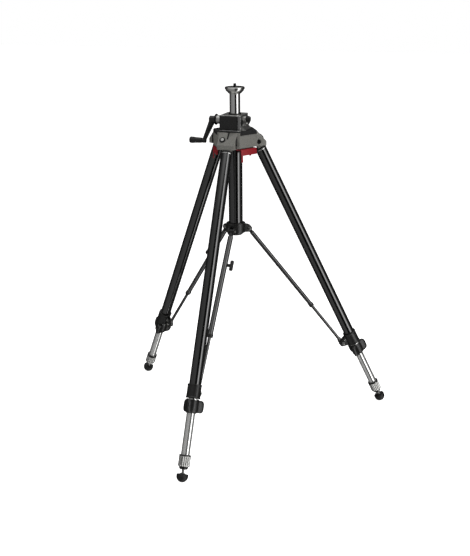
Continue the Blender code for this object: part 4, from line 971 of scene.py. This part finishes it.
# ---------------------------------------------------------------- leg clamps
# The clamp is a dark casting pressed on the tube's end. Two ears on its inner side hold the
# spreader rod's bolt, and two ribs and a lip stiffen its socket.
CLAMP_LOW, CLAMP_HIGH = 223.5 * MM, 265 * MM
BRACKET = (-36 * MM, 240 * MM)
for leg in LEGS:
    body = f"{leg}_leg"
    socket = fillet([(21.5 * MM, CLAMP_HIGH), (21.5 * MM, CLAMP_HIGH - 3 * MM),
        (20.7 * MM, CLAMP_HIGH - 5 * MM), (20.7 * MM, CLAMP_LOW + 6 * MM),
        (21.5 * MM, CLAMP_LOW + 4 * MM), (21.5 * MM, CLAMP_LOW), (13.0 * MM, CLAMP_LOW),
        (13.0 * MM, CLAMP_LOW + 4.5 * MM), (17.35 * MM, CLAMP_LOW + 4.5 * MM),
        (17.35 * MM, CLAMP_HIGH)], [1 * MM, 0.8 * MM, 0.8 * MM, 0.8 * MM, 0.8 * MM, 1 * MM,
        0.4 * MM, 0.2 * MM, 0.2 * MM, 0.5 * MM], 4)
    piece(f"{leg}_clamp_socket", lathe(socket, 96), leg_frames[leg], dark_enamel, body,
        f"{leg}_leg_clamp", loop=True)
    pin_x, pin_z = BRACKET
    arc = [(pin_x + 10.3 * MM * math.cos(a), pin_z + 10.3 * MM * math.sin(a))
        for a in np.linspace(math.radians(100), math.radians(255), 14)]
    ear_outline = np.array([(-19 * MM, CLAMP_LOW + 2 * MM), (-19 * MM, 258 * MM),
        (-24 * MM, 257 * MM)] + arc)
    for end in (-1, 1):
        near, far = (3.6 * MM, 8 * MM) if end > 0 else (-8 * MM, -3.6 * MM)
        # the outline's X and Y run outwards and up the leg; its height runs against the pin
        where = leg_frames[leg] @ STAND_ON_EDGE
        piece(f"{leg}_clamp_ear_{'ab'[end > 0]}", prism(ear_outline, -far, -near, 0.9 * MM),
            where, dark_enamel, body)
        cap_screw(f"{leg}_arm_bolt_{'ab'[end > 0]}", on_leg(leg, (pin_x, end * 8.0 * MM, pin_z),
            (0, end, 0)), 4.8 * MM, 3 * MM, bright_steel, body,
            f"{leg}_arm_bolt" if end > 0 else (), depth=0.1 * MM)
        cap_screw(f"{leg}_clamp_screw_{'ab'[end > 0]}", on_leg(leg, (-25.5 * MM, end * 8.0 * MM,
            249.5 * MM), (0, end, 0)), 3.2 * MM, 1.6 * MM, bright_steel, body, depth=0.1 * MM)
        piece(f"{leg}_clamp_rib_{'ab'[end > 0]}", prism(rectangle(-1.2 * MM, 1.2 * MM, 0,
            3.6 * MM, 0.8 * MM), CLAMP_LOW + 3 * MM, CLAMP_HIGH - 2 * MM, 0.8 * MM),
            leg_frames[leg] @ Matrix.Rotation(math.radians(-90 + end * 42), 4,
            "Z") @ Matrix.Translation((0, 18.6 * MM, 0)), dark_enamel, body)
    piece(f"{leg}_bolt_shank", cylinder(2.6 * MM, -8 * MM, 8 * MM, 0.2 * MM, 24),
        on_leg(leg, (pin_x, 0, pin_z), along_pin), bright_steel, body)

# ---------------------------------------------------------------- lock grips
# A three-lobed grip under each clamp locks the middle tube. Its lobes are rounded fins that
# taper towards both ends, with a slim washer above it and a skirt below.
LOCK_LOW, LOCK_HIGH = 181 * MM, 222.5 * MM
MIDDLE_CLEARANCE = 13.0 * MM    # bore of each piece that the middle tube slides through


def lobed_grip(low, high, core, lobe, bore, sides=180, steps=14):
    """Rings whose radius is a round core plus three lobes, each the seventh power of a cosine.
    Height scales the lobes with a superellipse, so the fins round over at both ends."""
    angle = np.arange(sides) / sides * 2 * np.pi
    fin = np.abs(np.cos(1.5 * angle)) ** 7
    t = np.sin(np.linspace(np.pi / 2, -np.pi / 2, steps * 2 + 1))
    rings = []
    for level in t:
        full = (1 - abs(level) ** 3.2) ** (1 / 3.2)
        radius = core * (0.9 + 0.1 * full) + (lobe - core) * fin * (0.30 + 0.70 * full)
        radius = radius - 0.5 * MM * (1 - full)
        rings.append(np.stack([radius * np.cos(angle), radius * np.sin(angle), np.full(sides,
            (low + high) / 2 + (high - low) / 2 * level)], -1))
    for level in (low, high):
        rings.append(np.stack([bore * np.cos(angle), bore * np.sin(angle), np.full(sides, level)],
            -1))
    return np.array(rings)


for leg in LEGS:
    body = f"{leg}_lock"
    piece(f"{leg}_lock_lobes", lobed_grip(LOCK_LOW + 2 * MM, LOCK_HIGH - 2.4 * MM, 19.6 * MM,
        35.5 * MM, MIDDLE_CLEARANCE), leg_frames[leg], dark_enamel, body, f"{leg}_lock_grip",
        sharp=50, loop=True)
    for name, radius, low, high, finish in (("washer", 18.6 * MM, LOCK_HIGH - 2.6 * MM, LOCK_HIGH,
            bright_aluminium), ("skirt", 15.6 * MM, LOCK_LOW, LOCK_LOW + 4 * MM, black_abs)):
        piece(f"{leg}_lock_{name}", tube(radius, MIDDLE_CLEARANCE, low, high, 0.5 * MM, 96),
            leg_frames[leg], finish, body, loop=True,
            slot="cast_dark" if name == "washer" else "black_plastic")

# ---------------------------------------------------------------- middle tubes and twist collars
# The middle tube is polished aluminium. Its lower end carries a ribbed aluminium collar
# between two black rings, which locks the lower tube.
polished, _, _ = drawn_tube_finish("polished_drawn_aluminium", ("#e6e6e5", "#d8d8d6"), 0.8,
    (0.06, 0.13), 1.0, 0.004)
MIDDLE_RADIUS = 12.7 * MM
LOWER_RADIUS = 9.5 * MM
LOWER_TOP = 770 * MM
KNURL_DEPTH = 2.2 * MM
COLLAR_SIDES = 192


def knurl(angle, height):
    """Sixteen rounded ribs between the two rings, on the outer wall only."""
    rib = np.abs(np.cos(angle * 8)) ** 0.7 - 1
    fade = (np.clip((height - 29 * MM) / (1.2 * MM), 0, 1) * np.clip((57 * MM - height) / (
        1.2 * MM), 0, 1))
    return KNURL_DEPTH * rib * fade


collar_wall = np.linspace(57.5 * MM, 28.5 * MM, 30)
collar_outer = [(15.6 * MM, 58.5 * MM)] + [(17.1 * MM, height) for height in collar_wall] + [
    (15.0 * MM, 27.5 * MM)]
round_collar = np.arange(COLLAR_SIDES) / COLLAR_SIDES * 2 * np.pi
collar_rings = [np.stack([(radius + knurl(round_collar, height)) * np.cos(round_collar),
    (radius + knurl(round_collar, height)) * np.sin(round_collar), np.full(COLLAR_SIDES, height)],
    -1) for radius, height in collar_outer]
collar_rings += [np.stack([MIDDLE_CLEARANCE * np.cos(round_collar),
    MIDDLE_CLEARANCE * np.sin(round_collar), np.full(COLLAR_SIDES, height)], -1)
    for height in (29.5 * MM, 58.5 * MM)]
for leg in LEGS:
    piece(f"{leg}_middle_polished_tube", tube(MIDDLE_RADIUS, 10 * MM, 30 * MM, 800 * MM, 0.4 * MM,
        96), leg_frames[leg], polished, f"{leg}_middle", f"{leg}_middle_tube", loop=True)
    body = f"{leg}_collar"
    piece(f"{leg}_collar_ribbed", np.array(collar_rings), leg_frames[leg], bright_aluminium, body,
        f"{leg}_twist_collar", sharp=50, loop=True, slot="steel")
    for name, radius, bore, low, high in (("upper", 17.3 * MM, MIDDLE_CLEARANCE, 57.6 * MM,
            61 * MM), ("lower", 13.4 * MM, 9.8 * MM, 25.3 * MM, 28.2 * MM)):
        piece(f"{leg}_collar_ring_{name}", tube(radius, bore, low, high, 0.8 * MM, 96),
            leg_frames[leg], black_abs, body, loop=True)

# ---------------------------------------------------------------- lower tubes, spindles and feet
# The lower tube is pushed fully in, so only its end plug shows. Under it come a threaded
# steel spindle and a half-ball foot of black rubber with a ribbed side.


def rubber_finish(name):
    """Moulded rubber: fine matt grain, dusty where it meets the ground."""
    finish, tree, shader = principled(name, "#121212", 0.0, 0.62)
    spot = put(tree, "ShaderNodeTexCoord")
    grain = put(tree, "ShaderNodeTexNoise", None, {"Vector": spot.outputs["Object"],
        "Scale": 1 / (0.7 * MM), "Detail": 3.0})
    tone, _ = weather(tree, shader, spot.outputs["Object"], 10, ("#101010", "#181817"),
        (0.5, 0.7))
    place = put(tree, "ShaderNodeSeparateXYZ", None, {"Vector": spot.outputs["Object"]})
    ground = put(tree, "ShaderNodeMapRange", None, {"Value": place.outputs["Z"],
        "From Min": 5 * MM, "From Max": 0.0, "To Min": 0.0, "To Max": 0.5})
    dusty = put(tree, "ShaderNodeMix", {"data_type": "RGBA"}, {"Factor": ground.outputs["Result"],
        "A": tone.outputs["Result"], "B": linear("#4a4945")})
    tree.links.new(dusty.outputs["Result"], shader.inputs["Base Color"])
    relief(tree, shader, grain.outputs["Fac"], 0.05)
    return finish


rubber = rubber_finish("black_moulded_rubber")
dome_radius = 17.3 * MM
for leg in LEGS:
    piece(f"{leg}_lower_polished_tube", lathe(fillet(mm((9.5, 770), (9.5, 25), (11, 25), (11, 21),
        (9.6, 19.5), (4.3, 19.5), (4.3, 45), (7.5, 45), (7.5, 770)), 0.4 * MM, 3), 80),
        leg_frames[leg], polished, f"{leg}_lower", f"{leg}_lower_tube", loop=True)
    piece(f"{leg}_plug_ring", tube(12.6 * MM, 10.6 * MM, 20.8 * MM, 25.2 * MM, 0.6 * MM, 80),
        leg_frames[leg], black_abs, f"{leg}_lower", loop=True)
    piece(f"{leg}_spindle_threaded", thread(3.95 * MM, 0.6 * MM, 1.25 * MM, -3 * MM, 43 * MM, 32),
        leg_frames[leg], bright_steel, f"{leg}_lower", f"{leg}_foot_spindle", sharp=60)
    levels = np.linspace(0, math.pi / 2, 40)
    dome = [(dome_radius * math.cos(a) - 0.35 * MM * max(0, math.cos(a * 26)) * (a < 1.0),
        -dome_radius * math.sin(a)) for a in levels]
    dome[-1] = (0, -dome_radius)
    top_face = fillet([(0, 8.6 * MM), (7 * MM, 8.6 * MM), (8 * MM, 6 * MM), (16.0 * MM, 6 * MM),
        (dome_radius, 4.6 * MM), (dome_radius, 0.4 * MM)], [0, 0.8 * MM, 0.8 * MM, 1.2 * MM,
        1 * MM, 0.1 * MM], 4, closed=False)
    piece(f"{leg}_foot_rubber", lathe(np.vstack([top_face[:-1], dome]), 96), leg_frames[leg],
        rubber, f"{leg}_foot", f"{leg}_rubber_foot", sharp=55)

# ---------------------------------------------------------------- spreader arms
# Each arm is an oval black tube on the hub. A gloss black rod slides in it, and its flat
# slotted eye is bolted to the leg clamp. A small wing knob locks the rod.
ARM_OVAL = 1.26                 # depth of the arm's section as a multiple of its width
WING_AT = -112 * MM             # the wing knob's place along the arm
for leg in LEGS:
    pivot = Vector(joints[f"{leg}_arm_fold"]["pos_m"])
    side = UP.cross(heading(leg))
    clamp_pin = leg_frames[leg] @ Vector((BRACKET[0], 0, BRACKET[1]))
    run = pivot - clamp_pin
    arm_length = run.length
    # Z points back up the arm to the hub, Y along the pin
    where = frame_at(pivot, run, side.cross(run))
    body = f"{leg}_arm"
    start, end = -16 * MM, -345 * MM
    bore = 5.3 * MM
    arm_profile = fillet([(0, start), (5.6 * MM, start), (6.7 * MM, start - 1.4 * MM),
        (6.7 * MM, end + 12 * MM), (7.7 * MM, end + 10.5 * MM), (7.7 * MM, end), (bore, end),
        (bore, -45 * MM), (0, -45 * MM)], 0.4 * MM, 3, closed=False)
    arm_profile[[0, -1], 0] = 0
    piece(f"{leg}_arm_oval_tube", lathe(arm_profile, 80, oval=ARM_OVAL), where, black_anodised,
        body, f"{leg}_arm_tube", sharp=35)
    piece(f"{leg}_arm_end_ring", lathe(fillet([(8.1 * MM, end + 9 * MM),
        (8.1 * MM, end + 0.4 * MM), (6.9 * MM, end + 0.4 * MM), (6.9 * MM, end + 9 * MM)],
        0.6 * MM, 3), 80, oval=1.24), where, black_abs, body, loop=True)
    arm_eye = shape(f"{leg}_arm_eye", cylinder(8 * MM, -6 * MM, 6 * MM, 0.6 * MM, 48),
        where @ frame_at((0, 0, 0), along_pin, outward))
    hole = shape(f"{leg}_arm_eye_hole", cylinder(3.3 * MM, -9 * MM, 9 * MM, 0.1 * MM, 32),
        where @ frame_at((0, 0, 0), along_pin, outward))
    add(carve(arm_eye, hole), black_abs, body)
    piece(f"{leg}_arm_neck", prism(rectangle(-5.4 * MM, 5.4 * MM, -5.7 * MM, 5.7 * MM, 2 * MM),
        -28 * MM, -6 * MM, 0.5 * MM), where, black_abs, body)

    body = f"{leg}_rod"
    piece(f"{leg}_rod_ground", cylinder(4.9 * MM, -arm_length + 16 * MM, -110 * MM, 0.4 * MM, 48),
        where, black_anodised, body, f"{leg}_arm_rod")
    tongue_outline = [(10 * MM * math.cos(a), -arm_length + 10 * MM * math.sin(a))
        for a in np.linspace(math.radians(200), math.radians(340), 14)]
    tongue_outline += [(8.5 * MM, -arm_length + 12 * MM), (5 * MM, -arm_length + 24 * MM),
        (-5 * MM, -arm_length + 24 * MM), (-8.5 * MM, -arm_length + 12 * MM)]
    flat = where @ STAND_ON_EDGE
    tongue = shape(f"{leg}_rod_tongue", prism(tongue_outline, -3 * MM, 3 * MM, 0.5 * MM), flat)
    slot_outline = rectangle(-6 * MM, 6 * MM, -arm_length - 7.2 * MM, -arm_length + 7.2 * MM,
        2.8 * MM)
    carve(tongue, shape(f"{leg}_tongue_slot", prism(slot_outline, -8 * MM, 8 * MM, 0.1 * MM, 1),
        flat))
    add(tongue, bright_steel, body, sharp=35)

    body = f"{leg}_wing"
    wall = 6.7 * MM * ARM_OVAL + 0.3 * MM
    knob_at_arm = where @ frame_at((0, 0, WING_AT), along_pin, (0, 0, 1))
    piece(f"{leg}_wing_boss", solid([(0, wall + 10 * MM), (4.8 * MM, wall + 10 * MM),
        (5.4 * MM, wall), (0, wall)], 0.4 * MM, 48), knob_at_arm, black_abs, body,
        f"{leg}_wing_knob")

    # the bar's outline is a bow tie: narrow at the boss and round at both tips
    tips = np.linspace(-math.pi / 2, math.pi / 2, 12)
    bow = ([(10.5 * MM + 6.4 * MM * math.cos(a), 6.4 * MM * math.sin(a)) for a in tips] + [(0,
        5 * MM)] + [(-10.5 * MM - 6.4 * MM * math.cos(a), 6.4 * MM * math.sin(-a)) for a in tips]
        + [(0, -5 * MM)])
    piece(f"{leg}_wing_bar", prism(bow, wall + 8.6 * MM, wall + 18 * MM, 2.2 * MM, 4),
        knob_at_arm, black_abs, body, sharp=50)

# ---------------------------------------------------------------- release levers
# A red moulded lever under each side of the casting, with a lip and a finger prong.


def red_nylon(name):
    """Glass-filled nylon: a soft sheen, faint flow marks and a little light let through."""
    finish, tree, shader = principled(name, "#8f101c", 0.0, 0.44)
    spot = put(tree, "ShaderNodeTexCoord")
    flow = put(tree, "ShaderNodeTexNoise", None, {"Vector": spot.outputs["Object"],
        "Scale": 1 / (1.2 * MM), "Detail": 4.0, "Distortion": 1.5})
    weather(tree, shader, spot.outputs["Object"], 9, ("#94111d", "#780d17"), (0.38, 0.52))
    relief(tree, shader, flow.outputs["Fac"], 0.03)
    shader.inputs["Subsurface Weight"].default_value = 0.05
    shader.inputs["Subsurface Scale"].default_value = 1 * MM
    return finish


red_plastic = red_nylon("red_moulded_nylon")
for leg in LEGS:
    lever = copy_of(f"{leg}_release_lever", f"{leg}_lever_moulded")
    soften(lever, 1.1, 4)
    add(lever, red_plastic, f"{leg}_lever", f"{leg}_release_lever", sharp=30)
